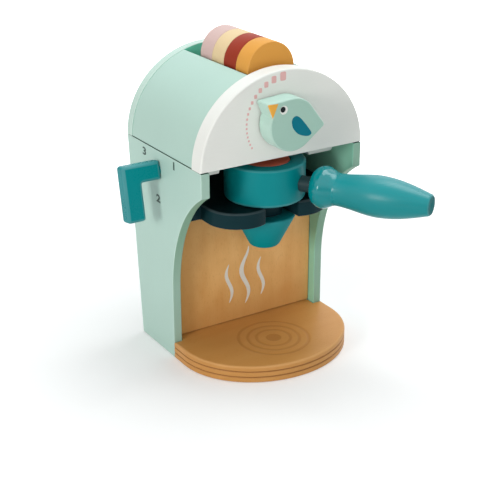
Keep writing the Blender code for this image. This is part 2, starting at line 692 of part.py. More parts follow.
def side_lever():
    axis = pivot("lever_axis", (-HALF_WIDTH, LEVER_Y, LEVER_Z), (-LEVER_TILT, 0, 0))
    bm = prism(lever_outline(), -LEVER_DEPTH / 2, LEVER_DEPTH / 2, seen_from_front)
    bmesh.ops.bevel(bm, geom=list(bm.edges), offset=LEVER_EDGE, segments=FINE_STEPS,
                    profile=ROUND_SHARE, affect="EDGES")
    lever = node("side_lever", bm, TEAL, axis, finish="gloss")
    cut(lever, "lever_bore", rod(AXLE_BORE, -AXLE_SEAT - FIT, OVERRUN, SMALL_STEPS),
        (-STAND_GAP, 0, 0), ALONG_X, axis)
    back = PANEL_THICKNESS
    node("lever_axle", rod(AXLE_RADIUS, -STAND_GAP - AXLE_SEAT, back + FIT + COLLAR_THICKNESS,
                           SMALL_STEPS, COLLAR_EDGE), PALE_WOOD, axis, (0, 0, 0), ALONG_X)
    node("lever_washer", pipe(AXLE_BORE, WASHER_RADIUS, -FIT - WASHER_THICKNESS, -FIT,
                              RING_STEPS), PALE_WOOD, axis, (0, 0, 0), ALONG_X)
    node("lever_collar", pipe(AXLE_BORE, COLLAR_RADIUS, back + FIT, back + FIT + COLLAR_THICKNESS,
                              RING_STEPS, COLLAR_EDGE), PALE_WOOD, axis, (0, 0, 0), ALONG_X)


# Joining pins
def pins(name, places, turn, joined):
    """Pins, each its own piece, and a blind hole for each in the pieces that it joins."""
    for i, (place, pieces) in enumerate(zip(places, joined), start=1):
        title = f"{name}_{i}"
        reach = PIN_LENGTH / 2
        node(title, rod(PIN_RADIUS, -reach, reach, PIN_STEPS, PIN_EDGE), PALE_WOOD, None, place,
             turn)
        for piece in pieces:
            hole = rod(PIN_RADIUS + FIT, -reach - FIT, reach + FIT, PIN_STEPS)
            cut(piece, f"{piece.name}_{title}_hole", hole, place, turn)


def build():
    for old in list(bpy.data.objects):
        bpy.data.objects.remove(old, do_unlink=True)
    base = base_plate()
    left = side_panel("left_side_panel", -1)
    right = side_panel("right_side_panel", 1)
    upright_board("back_panel", BACK_PANEL_Y, BACK_PANEL_THICKNESS, BASE_THICKNESS + FIT,
                  FORK_FOOT_Z - FIT, OAK)
    rear_panel()
    fascia = front_fascia()
    rear_arch_plate()
    left_shell = dome_shell("left_dome_shell", -1)
    right_shell = dome_shell("right_dome_shell", 1)
    board = inner_board()
    pod_tray()
    fork = filter_fork()
    stacked_pods()
    filter_holder()
    dial_knob()
    side_lever()

    bore = rod(AXLE_BORE, -OVERRUN, FASCIA_THICKNESS + OVERRUN, SMALL_STEPS)
    cut(fascia, "fascia_axle_hole", bore, (0, FASCIA_Y, KNOB_Z), ALONG_Y)
    bore = rod(AXLE_BORE, -OVERRUN, INNER_BOARD_THICKNESS + OVERRUN, SMALL_STEPS)
    cut(board, "board_axle_hole", bore, (0, CUP_Y - FIT, KNOB_Z), ALONG_Y)
    bore = rod(AXLE_BORE, -OVERRUN, PANEL_THICKNESS + OVERRUN, SMALL_STEPS)
    cut(left, "panel_axle_hole", bore, (-HALF_WIDTH, LEVER_Y, LEVER_Z), ALONG_X)

    mid = HALF_WIDTH - PANEL_THICKNESS / 2 - SHELL_STEP
    ends = (FASCIA_BACK_Y + PIN_MARGIN, REAR_PLATE_Y - PIN_MARGIN)
    sides = ((-1, left, left_shell), (1, right, right_shell))
    pins("seam_pin", [(side * mid, y, SEAM_HEIGHT) for side, *_ in sides for y in ends],
         (0, 0, 0), [pieces for _, *pieces in sides for _ in ends])
    reach = PIN_LENGTH / 2 - PANEL_THICKNESS / 2
    for name, z, piece, front in (("base_pin", BASE_THICKNESS / 2, base, COLUMN_Y),
                                  ("fork_pin", FORK_FOOT_Z + FORK_THICKNESS / 2, fork,
                                   CUP_Y + FORK_SHELF_SETBACK)):
        ends = (front + PIN_MARGIN, rear_panel_front(z) - PIN_MARGIN)
        pins(name, [(side * (INNER_HALF - reach), y, z) for side in (-1, 1) for y in ends],
             ALONG_X, [(piece, panel) for panel in (left, right) for _ in ends])


build()
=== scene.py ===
"""Finishes and fine surfaces of a wooden toy coffee maker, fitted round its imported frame."""

import json
import math
from functools import reduce

import bmesh
import bpy
from mathutils import Matrix, Vector
from mathutils.geometry import intersect_line_line_2d


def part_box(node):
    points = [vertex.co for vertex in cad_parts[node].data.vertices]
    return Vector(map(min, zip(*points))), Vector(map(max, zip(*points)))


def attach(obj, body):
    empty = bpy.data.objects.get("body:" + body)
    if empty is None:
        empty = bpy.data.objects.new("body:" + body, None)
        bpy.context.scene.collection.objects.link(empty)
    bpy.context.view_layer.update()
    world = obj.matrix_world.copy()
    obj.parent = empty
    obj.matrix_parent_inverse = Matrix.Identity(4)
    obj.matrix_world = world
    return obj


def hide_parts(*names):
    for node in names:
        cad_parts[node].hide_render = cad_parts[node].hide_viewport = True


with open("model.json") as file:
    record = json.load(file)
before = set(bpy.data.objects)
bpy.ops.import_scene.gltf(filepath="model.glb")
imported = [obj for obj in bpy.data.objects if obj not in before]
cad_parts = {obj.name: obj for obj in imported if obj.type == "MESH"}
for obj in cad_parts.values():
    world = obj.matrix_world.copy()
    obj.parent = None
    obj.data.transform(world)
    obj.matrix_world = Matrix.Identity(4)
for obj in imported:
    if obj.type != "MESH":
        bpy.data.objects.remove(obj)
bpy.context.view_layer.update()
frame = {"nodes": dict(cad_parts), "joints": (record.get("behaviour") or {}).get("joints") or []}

# Sizes in metres that the frame's boxes don't give
FIT = 0.0003
PANEL_NOSE_HEIGHT = 0.0191
PANEL_CURVE_DEPTH = 0.0825
PANEL_CURVE_HEIGHT = 0.1002
PANEL_EDGE = 0.0009
REAR_PANEL_THICKNESS = 0.005
REAR_TAPER = 0.0138
BOARD_EDGE = 0.0005
BOARD_SETBACK = 0.0074
BASE_STRAIGHT = 0.0155
BASE_LAYERS = 3
LAYER_EDGE = 0.0008
BASE_TOP_EDGE = 0.0016
FASCIA_EDGE = 0.0013
REAR_PLATE_EDGE = 0.0008
SHELL_THICKNESS = 0.0069
SHELL_STEP = 0.0004
SHELL_EDGE = 0.0004
INNER_CORNER = 0.003
INNER_ARCH_SIDE = 0.009
INNER_ARCH_CLEARANCE = 0.009
TRAY_EDGE = 0.0004
POD_EDGE = 0.0007
POD_PLAY = 0.0005
LOADED_POD_STEP = 0.0010        # the pod in the cup is this much smaller in radius
CUP_TOP_EDGE = 0.0016
CUP_FOOT_EDGE = 0.0030
TENON_RADIUS = 0.008
TENON_LENGTH = 0.006
NECK_EDGE = 0.0006
SPOUT_TIP_RADIUS = 0.0125
SPOUT_TOP_EDGE = 0.0012
SPOUT_TIP_EDGE = 0.0035
FORK_SIDE_GAP = 0.0123
FORK_SLOT_PLAY = 0.0007
FORK_SHELF_SETBACK = 0.0097
FORK_PRONG_RADIUS = 0.0253
FORK_PRONG_CORNER = 0.0010
FORK_TOP_EDGE = 0.0017
FORK_FOOT_EDGE = 0.0008
HANDLE_AZIMUTH = math.radians(30.5)
HANDLE_RISE = 0.0142
HANDLE_STANDOFF = 0.0096
HANDLE_LENGTH = 0.0909
BULB_FACE_RADIUS = 0.0083
BULB_RADIUS = 0.0159
WAIST_RADIUS = 0.0121
GRIP_RADIUS = 0.0153
TIP_RADIUS = 0.0076
TIP_EDGE = 0.0010
TIP_SHARE = 0.7                 # of the tip's rim, that the disc of end grain leaves free
BULB_SHARE = 0.10
WAIST_SHARE = 0.22
GRIP_SHARE = 0.565
DOWEL_RADIUS = 0.0061
DOWEL_CUP_DEPTH = 0.006
DOWEL_GRIP_DEPTH = 0.015
BIRD_RADIUS = 0.0194
BIRD_MIDDLE = (-0.0033, 0.0009)
BEAK_REACH = 0.0282
BEAK_ANGLE = math.radians(141)
BEAK_FOOT_ANGLE = math.radians(156)
BEAK_CORNER = 0.0012
TAIL_REACH = 0.0277
TAIL_ANGLE = math.radians(-8)
TAIL_CORNER = 0.0024
KNOB_FRONT_EDGE = 0.0010
KNOB_REAR_EDGE = 0.0006
LEVER_TILT = math.radians(10.4)
LEVER_REACH = 0.0299
LEVER_GRIP_WIDTH = 0.0148
LEVER_ARM_HEIGHT = 0.0141
LEVER_LENGTH = 0.0427
LEVER_DEPTH = 0.0112
LEVER_EDGE = 0.0024
STAND_GAP = 0.0014
LEVER_CLEARANCE = 0.0005

# Printed and burnt marks
PRINT_DEPTH = 0.00006
RING_RADII = (0.0276, 0.0202, 0.0134)
RING_HALF_WIDTH = 0.0020
RING_DEPTH = 0.00020
SPOT_RADIUS = 0.0066
RING_MARGIN = 0.003             # outside the outermost ring
RING_CENTRE_Y = -0.0297
DIAL_COUNT = 16
DIAL_RADIUS = 0.0323
DIAL_START = math.radians(3.2)
DIAL_SWEEP = math.radians(117.3)
DIAL_DECAY = 4
DIAL_EVENNESS = 0.7             # part of the sweep that the bars share out evenly
DIAL_LARGE = (0.0049, 0.0063)
DIAL_SMALL = (0.0014, 0.0015)
STEAM_WISPS = ((-0.0150, 0.0300, 0.034, 0.0026, 0.0034, 1.0),
               (0.0000, 0.0260, 0.050, 0.0034, 0.0042, 1.25),
               (0.0150, 0.0300, 0.034, 0.0026, 0.0034, 1.0))
STROKE_TAPER = 0.6
NUMERAL_SIZE = 0.0082
NUMERAL_WEIGHT = 0.00030
NUMERAL_STRETCH = 1.5
NUMERAL_PLACES = (("1", -0.0021, 0.1601), ("2", 0.0237, 0.1270), ("3", 0.0439, 0.1589))
EYE_PLACE = (-0.0119, 0.0131)
PUPIL_PLACE = (-0.0127, 0.0136)
EYE_WHITE_RADIUS = 0.0032
PUPIL_RADIUS = 0.0021
BEAK_MARK = ((-0.0262, 0.0186), (-0.0165, 0.0183), (-0.0210, 0.0082))
WING_MARK = ((-0.0014, 0.0072), (-0.0037, 0.0064), (-0.0050, 0.0040), (-0.0045, 0.0000),
             (-0.0023, -0.0036), (0.0011, -0.0066), (0.0057, -0.0085), (0.0098, -0.0090),
             (0.0119, -0.0077), (0.0111, -0.0054), (0.0084, -0.0019), (0.0055, 0.0017),
             (0.0027, 0.0048), (0.0007, 0.0064))

# Facets
ARCH_STEPS = 96
ROUND_STEPS = 128
SMALL_STEPS = 48
EDGE_STEPS = 6
CORNER_STEPS = 10
WING_STEPS = 6                  # of the curve between two points of the wing
STROKE_STEPS = 72
HANDLE_RINGS, HANDLE_SIDES = 220, 96
RING_CROWDING = 1.5             # draws the handle's rings together toward its bulb
BAR_CORNER, BAR_STEPS = 0.22, 6
SHARP_ANGLE = math.radians(40)
SUPPORT = 0.00008               # narrow flat strips beside each eased rim
LOOP_REACH = 40                 # stretches searched on each side of a loop
SAME_PLACE = 1e-7

# Where paint wears or differs, and where light and shade are painted on
EDGE_ANGLES = (math.radians(9), math.radians(15))   # between facets of a rim, to a worn one
SAWN_LIMIT = 0.5                # part of the normal, below which a face is a board's edge
FACING_LIMIT = 0.99             # part of the normal, above which a face counts as facing
# The edge colour is partly painted shade: the right panel's larger share is a painted shadow, edges
# that look down take more of it, rear edges a little.
STRAIGHT_SHARE = {"left": 0.5, "right": 0.85}   # of the sawn colour, where an edge is upright
DOWNWARD_SHADE_SLOPE = 0.8                # how far an edge leans out to have all of it
REAR_SHARE = 0.15
# painted shade on the board, toward its foot and left side
BOARD_SHADE_REACH = 0.040       # from its foot and left side, where the board is darker
# painted shade on the base, darker toward its back
BASE_SHADE_REACH = (-0.118, -0.050)     # from front to back, where the base darkens
SHINE_REACH = (0.052, 0.066)    # from the cup's axis, where the handle's gloss softens
SEAM_WIDTHS = (0.00035, 0.00060)
JOINT_WIDTHS = (0.0004, 0.0011)
GROOVE_WIDTHS = (0.0002, 0.00112)
BEAK_BLUR = 0.00008
FACE_SHARE = 0.7                # of the bird's front rim, that has the face's colour

# Patterns of the finishes: scales are repeats in a metre, reliefs are metres
GRAIN_SCALES = {"x": (5, 90, 90), "y": (90, 5, 90), "z": (90, 90, 5)}
CLOUD_SCALE = 26
PEEL_SCALE = 900
BAND_SCALE = 340
PAINT_RELIEF = 0.00005
TIMBER_RELIEF = 0.00006
INK_RELIEF = 0.00002
RING_WOBBLE = 0.0007
PAINT_TONES = (0.955, 1.045)    # parts of a colour that its clouds go between
INK_TONES = (0.93, 1.07)
CLOUD_SHARE, GRAIN_SHARE = 0.7, 0.45    # in a paint's tones
BAND_SHARE, FIBRE_SHARE = 0.16, 0.42    # in the tones of beech
# the rim share is a painted highlight on beech's eased rims
FLECK_SHARE, RIM_HIGHLIGHT_SHARE = 0.28, 0.35
# rims pale from thin paint and from a painted highlight where they catch light
WEAR_AND_SHEEN = 0.16                     # how far thin paint pales on a rim
SATIN = (0.42, 0.2)             # roughness and specular level
FLECK_LIMITS = (0.62, 0.70)
RING_BURN = 0.75
PALE_SHARE = 0.05
BASE_SHADE = (0.62, 0.75)       # share of the darker colour, and its tone
BOARD_SHADE = (0.60, 0.78)
BULB_ROUGHNESS = 0.06
END_GRAIN_TONE = 0.62
# painted shade on the fork's top, under the cup and head
TOP_SHADE_TONE = 0.30

# Colours, linear
MINT = (0.436, 0.612, 0.543)
RIM_MINT = (0.500, 0.660, 0.590)
# the board edges' darker mint, partly painted shade
SAWN_AND_SHADE_MINT = (0.242, 0.430, 0.318)
# painted shade on the panels' inner faces and inside the slot
SHADED_INNER_MINT = (0.285, 0.600, 0.450)
SHADED_SLOT_MINT = (0.165, 0.620, 0.460)
WHITE = (0.790, 0.796, 0.757)
TEAL = (0.000, 0.226, 0.244)
NAVY = (0.006, 0.027, 0.033)
DOWEL_BLUE = (0.016, 0.038, 0.042)
BIRD_FACE = (0.365, 0.565, 0.480)
BIRD_SIDE = (0.460, 0.650, 0.570)
WING = (0.000, 0.165, 0.230)
BEAK = (0.820, 0.400, 0.060)
ROSE = (0.760, 0.440, 0.430)
PINK = (0.650, 0.470, 0.440)
CREAM = (0.770, 0.595, 0.350)
DARK_RED = (0.300, 0.034, 0.015)
MUSTARD = (0.730, 0.345, 0.070)
BRICK = (0.800, 0.168, 0.094)
INK = (0.070, 0.110, 0.095)
PUPIL = (0.006, 0.010, 0.012)
STEAM = (0.730, 0.710, 0.650)
OAK = (0.815, 0.440, 0.150)
OAK_DARK = (0.640, 0.290, 0.070)
PALE_OAK = (0.950, 0.680, 0.400)
BOARD_OAK = (0.850, 0.525, 0.210)
BOARD_OAK_DARK = (0.660, 0.325, 0.092)
AMBER = (1.000, 0.850, 0.600)
BURNT = (0.340, 0.120, 0.030)
GLUE_LINE = (0.230, 0.085, 0.025)
# painted shadow along the seam between head and panels, over a dark joint line
SEAM_SHADE = (0.015, 0.065, 0.040)
DOWEL = (0.640, 0.470, 0.280)
DOWEL_DARK = (0.500, 0.330, 0.170)

joints = {joint["name"]: joint for joint in frame["joints"]}


# Places read from the frame
def low(node):
    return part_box(node)[0]


def high(node):
    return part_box(node)[1]


def half_across(node):
    return (high(node).x - low(node).x) / 2


HALF_WIDTH = high("right_side_panel").x
INNER_HALF = low("right_side_panel").x
BOARD_HALF = high("back_panel").x
NOSE_Y = low("base_plate").y
BASE_TOP_Z = high("base_plate").z
COLUMN_Y = low("back_panel").y - BOARD_SETBACK
SEAM_Z = low("front_fascia").z
FASCIA_Y = low("front_fascia").y
SHELL_INSIDE = SHELL_STEP + SHELL_THICKNESS
ARCH_RISE = high("front_fascia").z - SEAM_Z
SLOT_HALF = low("right_dome_shell").x
CUP_Y = (low("pod_loaded").y + high("pod_loaded").y) / 2
CUP_RADIUS = half_across("filter_cup")
CUP_FOOT_Z = low("filter_cup").z
CUP_TOP_Z = high("filter_cup").z
FORK_NOSE = CUP_Y - low("filter_fork").y
POD_RADIUS = half_across("pod_loaded")
POD_THICKNESS = high("pod_loaded").z - low("pod_loaded").z
KNOB_Z = joints["knob_turn"]["pos_m"][2]
LEVER_PIVOT = Vector(joints["lever_turn"]["pos_m"])


# Node trees
def operator(operation):
    """A method that adds a Math node of one operation."""
    return lambda value, *others: value.math(operation, *others)


class Value:
    """An output in a node tree. Python's operators on it add the tree's Math nodes."""

    def __init__(self, tree, socket):
        self.tree, self.socket = tree, socket

    def math(self, operation, *others):
        made = self.tree.nodes.new("ShaderNodeMath")
        made.operation = operation
        for entry, value in zip(made.inputs, (self, *others)):
            join(self.tree, entry, value)
        return Value(self.tree, made.outputs[0])

    def __rsub__(self, other):
        return self * -1 + other

    __add__ = __radd__ = operator("ADD")
    __mul__ = __rmul__ = operator("MULTIPLY")
    __sub__ = operator("SUBTRACT")
    __truediv__ = operator("DIVIDE")
    __pow__ = operator("POWER")
    __abs__ = operator("ABSOLUTE")
    least = operator("MINIMUM")
    most = operator("MAXIMUM")


def join(tree, entry, value):
    """Link a value into a node's socket, or set the socket to a plain number or colour."""
    if isinstance(value, Value):
        tree.links.new(value.socket, entry)
    else:
        entry.default_value = (*value, 1) if entry.type == "RGBA" else value


class Tree:
    """A node tree that is built from one kind of call."""

    def __init__(self, tree):
        self.tree = tree

    def node(self, kind, settings=None, sockets=None, out=0):
        """Add a node: first its settings, then its sockets' values or links."""
        made = self.tree.nodes.new(kind)
        for name, value in (settings or {}).items():
            setattr(made, name, value)
        for name, value in (sockets or {}).items():
            join(self.tree, made.inputs[name], value)
        return Value(self.tree, made.outputs[out])

    def outputs(self, value, names):
        """Other outputs of the node that a value comes from."""
        return [Value(self.tree, value.socket.node.outputs[name]) for name in names]

    def parts(self, vector, axes="XYZ"):
        return self.outputs(self.node("ShaderNodeSeparateXYZ", {}, {"Vector": vector}), axes)

    def smooth(self, value, start, end):
        """0 up to start, 1 from end on, and a smooth rise between."""
        return self.node("ShaderNodeMapRange", {"interpolation_type": "SMOOTHSTEP"},
                         {"Value": value, "From Min": start, "From Max": end})

    def line(self, value, place, widths):
        """1 close to a place, 0 beyond the larger of two half widths."""
        return 1 - self.smooth(abs(value - place), *widths)

    def blend(self, factor, first, second):
        """A colour between two colours."""
        return self.node("ShaderNodeMix", {"data_type": "RGBA"},
                         {0: factor, 6: first, 7: second}, 2)


class Finish(Tree):
    """A material with a Principled shader, and the patterns that the finishes share."""

    def __init__(self, name, roughness, specular):
        self.material = bpy.data.materials.new(name)
        self.material.use_nodes = True
        super().__init__(self.material.node_tree)
        self.shader = self.tree.nodes["Principled BSDF"]
        self.roughness = roughness
        self.set("Roughness", roughness)
        self.set("Specular IOR Level", specular)
        self.place = self.node("ShaderNodeTexCoord", out="Object")

    def noise(self, scale, detail, roughness=0.5, stretch=None, turn=(0, 0, 0)):
        """Noise in the object's own space, drawn out along the grain where asked for."""
        place = self.place
        if stretch is not None:
            place = self.node("ShaderNodeMapping", {}, {
                "Vector": place, "Scale": stretch, "Rotation": turn})
        return self.node("ShaderNodeTexNoise", {}, {
            "Vector": place, "Scale": scale, "Detail": detail, "Roughness": roughness})

    def mark(self, name):
        """A mark on the mesh, such as "edge", which is 1 on eased rims and 0 on the flats."""
        return self.node("ShaderNodeAttribute", {"attribute_name": name}, out="Fac")

    def reach(self, centre_y):
        """Distance from an upright axis in the middle plane."""
        x, y = self.parts(self.place, "XY")
        away = y - centre_y
        return (x * x + away * away) ** 0.5

    def set(self, name, value):
        join(self.tree, self.shader.inputs[name], value)

    def bump(self, height, distance):
        self.set("Normal", self.node("ShaderNodeBump", {}, {
            "Height": height, "Distance": distance}))


def shade(colour, factor):
    return tuple(part * factor for part in colour)


def toward(colour, other, share):
    return tuple(part + (goal - part) * share for part, goal in zip(colour, other))


class Paint(Finish):
    """Sprayed paint on sanded wood: faint clouds, the grain's relief, and rims paled by thin paint
    and a painted highlight.
    """

    def __init__(self, name, roughness, specular, along, turn=(0, 0, 0), grain=1.0):
        super().__init__(name, roughness, specular)
        self.grain = grain
        self.cloud = self.noise(CLOUD_SCALE, 3)
        self.fibre = self.noise(14, 3, 0.6, GRAIN_SCALES[along], turn)
        self.peel = self.noise(PEEL_SCALE, 1)
        self.rim = self.mark("edge")
        self.tone = 0.5 + (self.cloud - 0.5) * CLOUD_SHARE + (self.fibre - 0.5) * (
            GRAIN_SHARE * grain)

    def clouded(self, colour):
        return self.blend(self.tone, *(shade(colour, part) for part in PAINT_TONES))

    def worn_and_lit(self, body, colour, wear_and_sheen):
        """A body colour that pales on the rims: thin paint there, and a painted highlight where
        rims catch light.
        """
        return self.blend(self.rim * (0.25 + self.cloud * 0.3), body,
                          toward(colour, (1, 1, 1), wear_and_sheen))

    def covered(self, body, roughness):
        self.set("Base Color", body)
        self.set("Roughness", roughness + (self.cloud - 0.5) * 0.10 + (self.peel - 0.5) * 0.08
                 + self.rim * 0.03)
        self.bump(self.fibre * (0.55 * self.grain) + self.peel * 0.30, PAINT_RELIEF)
        return self.material


def painted(name, colour, roughness=0.42, along="z", turn=(0, 0, 0), grain=1.0, specular=0.2,
            wear_and_sheen=WEAR_AND_SHEEN, edge_and_shade_colour=None, inner=None, seam=False, shine=None):
    """A paint with, where asked for, a darker colour on board edges that is partly painted shade,
    painted shade on faces that lie in shade, and a dark seam with a painted shadow.

    Shine is the roughness that it starts from near the axis of the cup.
    """
    paint = Paint(name, roughness, specular, along, turn, grain)
    body = paint.worn_and_lit(paint.clouded(colour), colour, wear_and_sheen)
    # board edges: their own darker paint, and painted shade where they look down
    if edge_and_shade_colour is not None:
        body = paint.blend(paint.mark("sawn_and_shade"), body, edge_and_shade_colour)
    # painted shade on the faces marked as lying in shade
    if inner is not None:
        body = paint.blend(paint.mark("in_shade"), body, inner)
    # the seam: a dark joint line with a painted shadow in it
    if seam:
        height, = paint.parts(paint.place, "Z")
        body = paint.blend(paint.line(height, SEAM_Z, SEAM_WIDTHS), body, SEAM_SHADE)
    if shine is not None:
        duller = paint.smooth(paint.reach(CUP_Y), *SHINE_REACH)
        roughness = duller * (roughness - shine) + shine
    return paint.covered(body, roughness)


def beech(finish, light, dark, along, burn=0, groove=0, patches=18, mottle=0.8):
    """Clear-lacquered beech: growth bands, fine fibres, short flecks, burnt places, grooves, and a
    painted highlight on eased rims.
    """
    scales = GRAIN_SCALES[along]
    wander = finish.noise(0.6, 2, stretch=scales)
    side, = finish.parts(finish.place, "Y" if along == "x" else "X")
    band = (side * BAND_SCALE + wander * 9).math("SINE") * 0.5 + 0.5
    fibre = finish.noise(16, 4, 0.65, scales)
    fleck_scales = tuple(part * 0.9 if part > 9 else part * 5 for part in scales)
    fleck = finish.smooth(finish.noise(13, 1, stretch=fleck_scales), *FLECK_LIMITS)
    cloud = finish.noise(patches, 3)
    tone = band * BAND_SHARE + fibre * FIBRE_SHARE + (cloud - 0.5) * mottle + 0.20
    colour = finish.blend(tone.most(0).least(1), dark, light)
    colour = finish.blend(fleck * FLECK_SHARE, colour, shade(dark, 0.8))
    # painted highlight: eased rims lighter and more amber
    colour = finish.blend(finish.mark("edge") * RIM_HIGHLIGHT_SHARE, colour, toward(light, AMBER, 0.25))
    colour = finish.blend(burn, colour, BURNT)
    colour = finish.blend(groove, colour, GLUE_LINE)
    finish.set("Base Color", colour)
    finish.set("Roughness", finish.roughness + (fibre - 0.5) * 0.14 + fleck * 0.08 + burn * 0.12)
    finish.bump(fibre * 0.6 - fleck * 0.5, TIMBER_RELIEF)
    return colour


def ringed_beech(name):
    """The base: beech with three soft burnt rings and a burnt spot on its top face, and painted
    shade toward its back.
    """
    finish = Finish(name, *SATIN)
    y, z = finish.parts(finish.place, "YZ")
    wobble = finish.noise(140, 2) - 0.5
    reach = finish.reach(RING_CENTRE_Y) + wobble * RING_WOBBLE
    burn = 1 - finish.smooth(reach, SPOT_RADIUS - RING_HALF_WIDTH / 2, SPOT_RADIUS)
    for radius in RING_RADII:
        widths = (RING_HALF_WIDTH / 4, RING_HALF_WIDTH)
        burn = burn.most(finish.line(reach, radius, widths) * RING_BURN)
    top = finish.smooth(z, BASE_TOP_Z / 2, BASE_TOP_Z)
    burn = burn * top * (0.50 + finish.noise(60, 3) * 0.55)
    layer = BASE_TOP_Z / BASE_LAYERS
    groove = reduce(Value.most, [finish.line(z, layer * i, GROOVE_WIDTHS)
                                 for i in range(1, BASE_LAYERS)])
    colour = beech(finish, OAK, OAK_DARK, "x", burn, groove)
    colour = finish.blend(finish.mark("side") * (1 - groove) * PALE_SHARE, colour, PALE_OAK)
    # painted shade toward the back of the base
    share, tone = BASE_SHADE
    colour = finish.blend(finish.smooth(y, *BASE_SHADE_REACH) * share, colour,
                          shade(OAK_DARK, tone))
    finish.set("Base Color", colour)
    return finish.material


def joined_beech(name):
    """The board behind the cup: mottled beech with painted shade toward its foot and left side."""
    finish = Finish(name, *SATIN)
    x, z = finish.parts(finish.place, "XZ")
    foot = 1 - finish.smooth(z - BASE_TOP_Z, *JOINT_WIDTHS)
    sides = 1 - finish.smooth(INNER_HALF - abs(x), *JOINT_WIDTHS)
    colour = beech(finish, BOARD_OAK, BOARD_OAK_DARK, "z", groove=foot.most(sides * 0.7),
                   patches=30, mottle=1.4)
    # painted shade toward the board's foot and left side
    foot_shade = 1 - finish.smooth(z - BASE_TOP_Z, 0, BOARD_SHADE_REACH)
    left_side_shade = 1 - finish.smooth(x + INNER_HALF, 0, BOARD_SHADE_REACH)
    share, tone = BOARD_SHADE
    finish.set("Base Color", finish.blend(foot_shade.most(left_side_shade) * share, colour,
                                          shade(BOARD_OAK_DARK, tone)))
    return finish.material


def printed(name, colour, roughness=0.5):
    """Ink or paint that is printed on: slightly uneven, with a fine tooth."""
    finish = Finish(name, roughness, 0.10)
    cloud = finish.noise(300, 3)
    tooth = finish.noise(2600, 2)
    tone = 0.5 + (cloud - 0.5) * 0.8 + (tooth - 0.5) * 0.5
    finish.set("Base Color", finish.blend(tone, *(shade(colour, part) for part in INK_TONES)))
    finish.set("Roughness", roughness + (tooth - 0.5) * 0.15)
    finish.bump(tooth, INK_RELIEF)
    return finish.material


# Outlines
def seen_from_front(u, v, w):
    return (u, w, v)


def seen_from_side(u, v, w):
    return (w, u, v)


def seen_from_above(u, v, w):
    return (u, v, w)


def ellipse(centre, across, upwards, start, end, steps):
    turns = [start + (end - start) * i / steps for i in range(steps + 1)]
    return [(centre[0] + across * math.cos(turn), centre[1] + upwards * math.sin(turn))
            for turn in turns]


def arc(centre, radius, start, end, steps):
    return ellipse(centre, radius, radius, start, end, steps)


def circle(centre, radius, steps=SMALL_STEPS):
    return arc(centre, radius, 0, math.tau, steps)[:-1]


def mirrored(points):
    """The same outline on the left of the middle plane, in the order that carries on."""
    return [(-u, v) for u, v in reversed(points)]


def sides(outline, i):
    """The stretches of a closed outline before and after one of its points."""
    here = Vector(outline[i])
    return here - Vector(outline[i - 1]), Vector(outline[(i + 1) % len(outline)]) - here


def rounded(corners):
    """An outline from (u, v, radius) corners, each rounded by an arc of its radius."""
    outline = [corner[:2] for corner in corners]
    points = []
    for i, (u, v, radius) in enumerate(corners):
        if radius == 0:
            points.append((u, v))
            continue
        corner = Vector((u, v))
        before, after = sides(outline, i)
        back, ahead = -before.normalized(), after.normalized()
        half = back.angle(ahead) / 2
        centre = corner + (back + ahead).normalized() * radius / math.sin(half)
        first, last = (corner + side * radius / math.tan(half) - centre for side in (back, ahead))
        start = math.atan2(first.y, first.x)
        sweep = (math.atan2(last.y, last.x) - start + math.pi) % math.tau - math.pi
        points += arc(centre, radius, start, start + sweep, CORNER_STEPS)
    return points


def eased_corners(outline, radius):
    """An outline whose sharp corners, and only those, are rounded by a small radius."""
    corners = []
    for i, point in enumerate(outline):
        before, after = sides(outline, i)
        corners.append((*point, radius if before.angle(after) > SHARP_ANGLE else 0))
    return rounded(corners)


def anticlockwise(outline):
    area = sum(a[0] * b[1] - b[0] * a[1] for a, b in zip(outline, outline[1:] + outline[:1]))
    return outline if area > 0 else outline[::-1]


def inset(outline, distance):
    """An anticlockwise outline moved inwards by a distance, with mitred corners."""
    moved = []
    for i, point in enumerate(outline):
        first, second = (side.normalized().orthogonal() for side in sides(outline, i))
        moved.append(tuple(Vector(point) + (first + second) * distance
                           / (1 + first.dot(second))))
    return untangled(outline, moved)


def untangled(outline, moved):
    """Draw each loop, where an inset is wider than a corner's radius, together to a point."""
    count = len(outline)

    def stretch(points, i):
        return Vector(points[(i + 1) % count]) - Vector(points[i % count])

    turned_back = [stretch(moved, i).dot(stretch(outline, i)) < 0 for i in range(count)]
    for start in range(count):
        if not turned_back[start] or turned_back[start - 1]:
            continue
        end = start
        while turned_back[(end + 1) % count]:
            end += 1
        for reach in range(1, LOOP_REACH):
            pairs = [(start - reach, end + k) for k in range(1, reach + 1)]
            pairs += [(start - k, end + reach) for k in range(1, reach)]
            meeting = next((found for found in (crossing(moved, *pair) for pair in pairs)
                            if found), None)
            if meeting:
                spot, first, last = meeting
                for i in range(first + 1, last + 1):
                    moved[i % count] = spot
                break
    return moved


def crossing(points, first, last):
    """Where two stretches of a closed outline cross, with their numbers, or None."""
    count = len(points)
    ends = [Vector(points[i % count]) for i in (first, first + 1, last, last + 1)]
    spot = intersect_line_line_2d(*ends)
    return (tuple(spot), first, last) if spot else None


# Meshes
def rim_levels(height, edge, outward):
    """(inset, height) pairs of a quarter-round rim, from the side wall to the flat."""
    pairs = [(edge * (1 - math.cos(math.pi / 2 * i / EDGE_STEPS)),
              height + outward * edge * (math.sin(math.pi / 2 * i / EDGE_STEPS) - 1))
             for i in range(EDGE_STEPS + 1)]
    return [(0, height - outward * (edge + SUPPORT))] + pairs + [(edge + SUPPORT, height)]


def weave(bm, loops):
    """Add the faces between each loop of corners and the next. A loop can be one point."""
    for near, far in zip(loops, loops[1:]):
        count = max(len(near), len(far))
        for i in range(count):
            j = (i + 1) % count
            corners = (near[i % len(near)], near[j % len(near)],
                       far[j % len(far)], far[i % len(far)])
            bm.faces.new(list(dict.fromkeys(corners)))


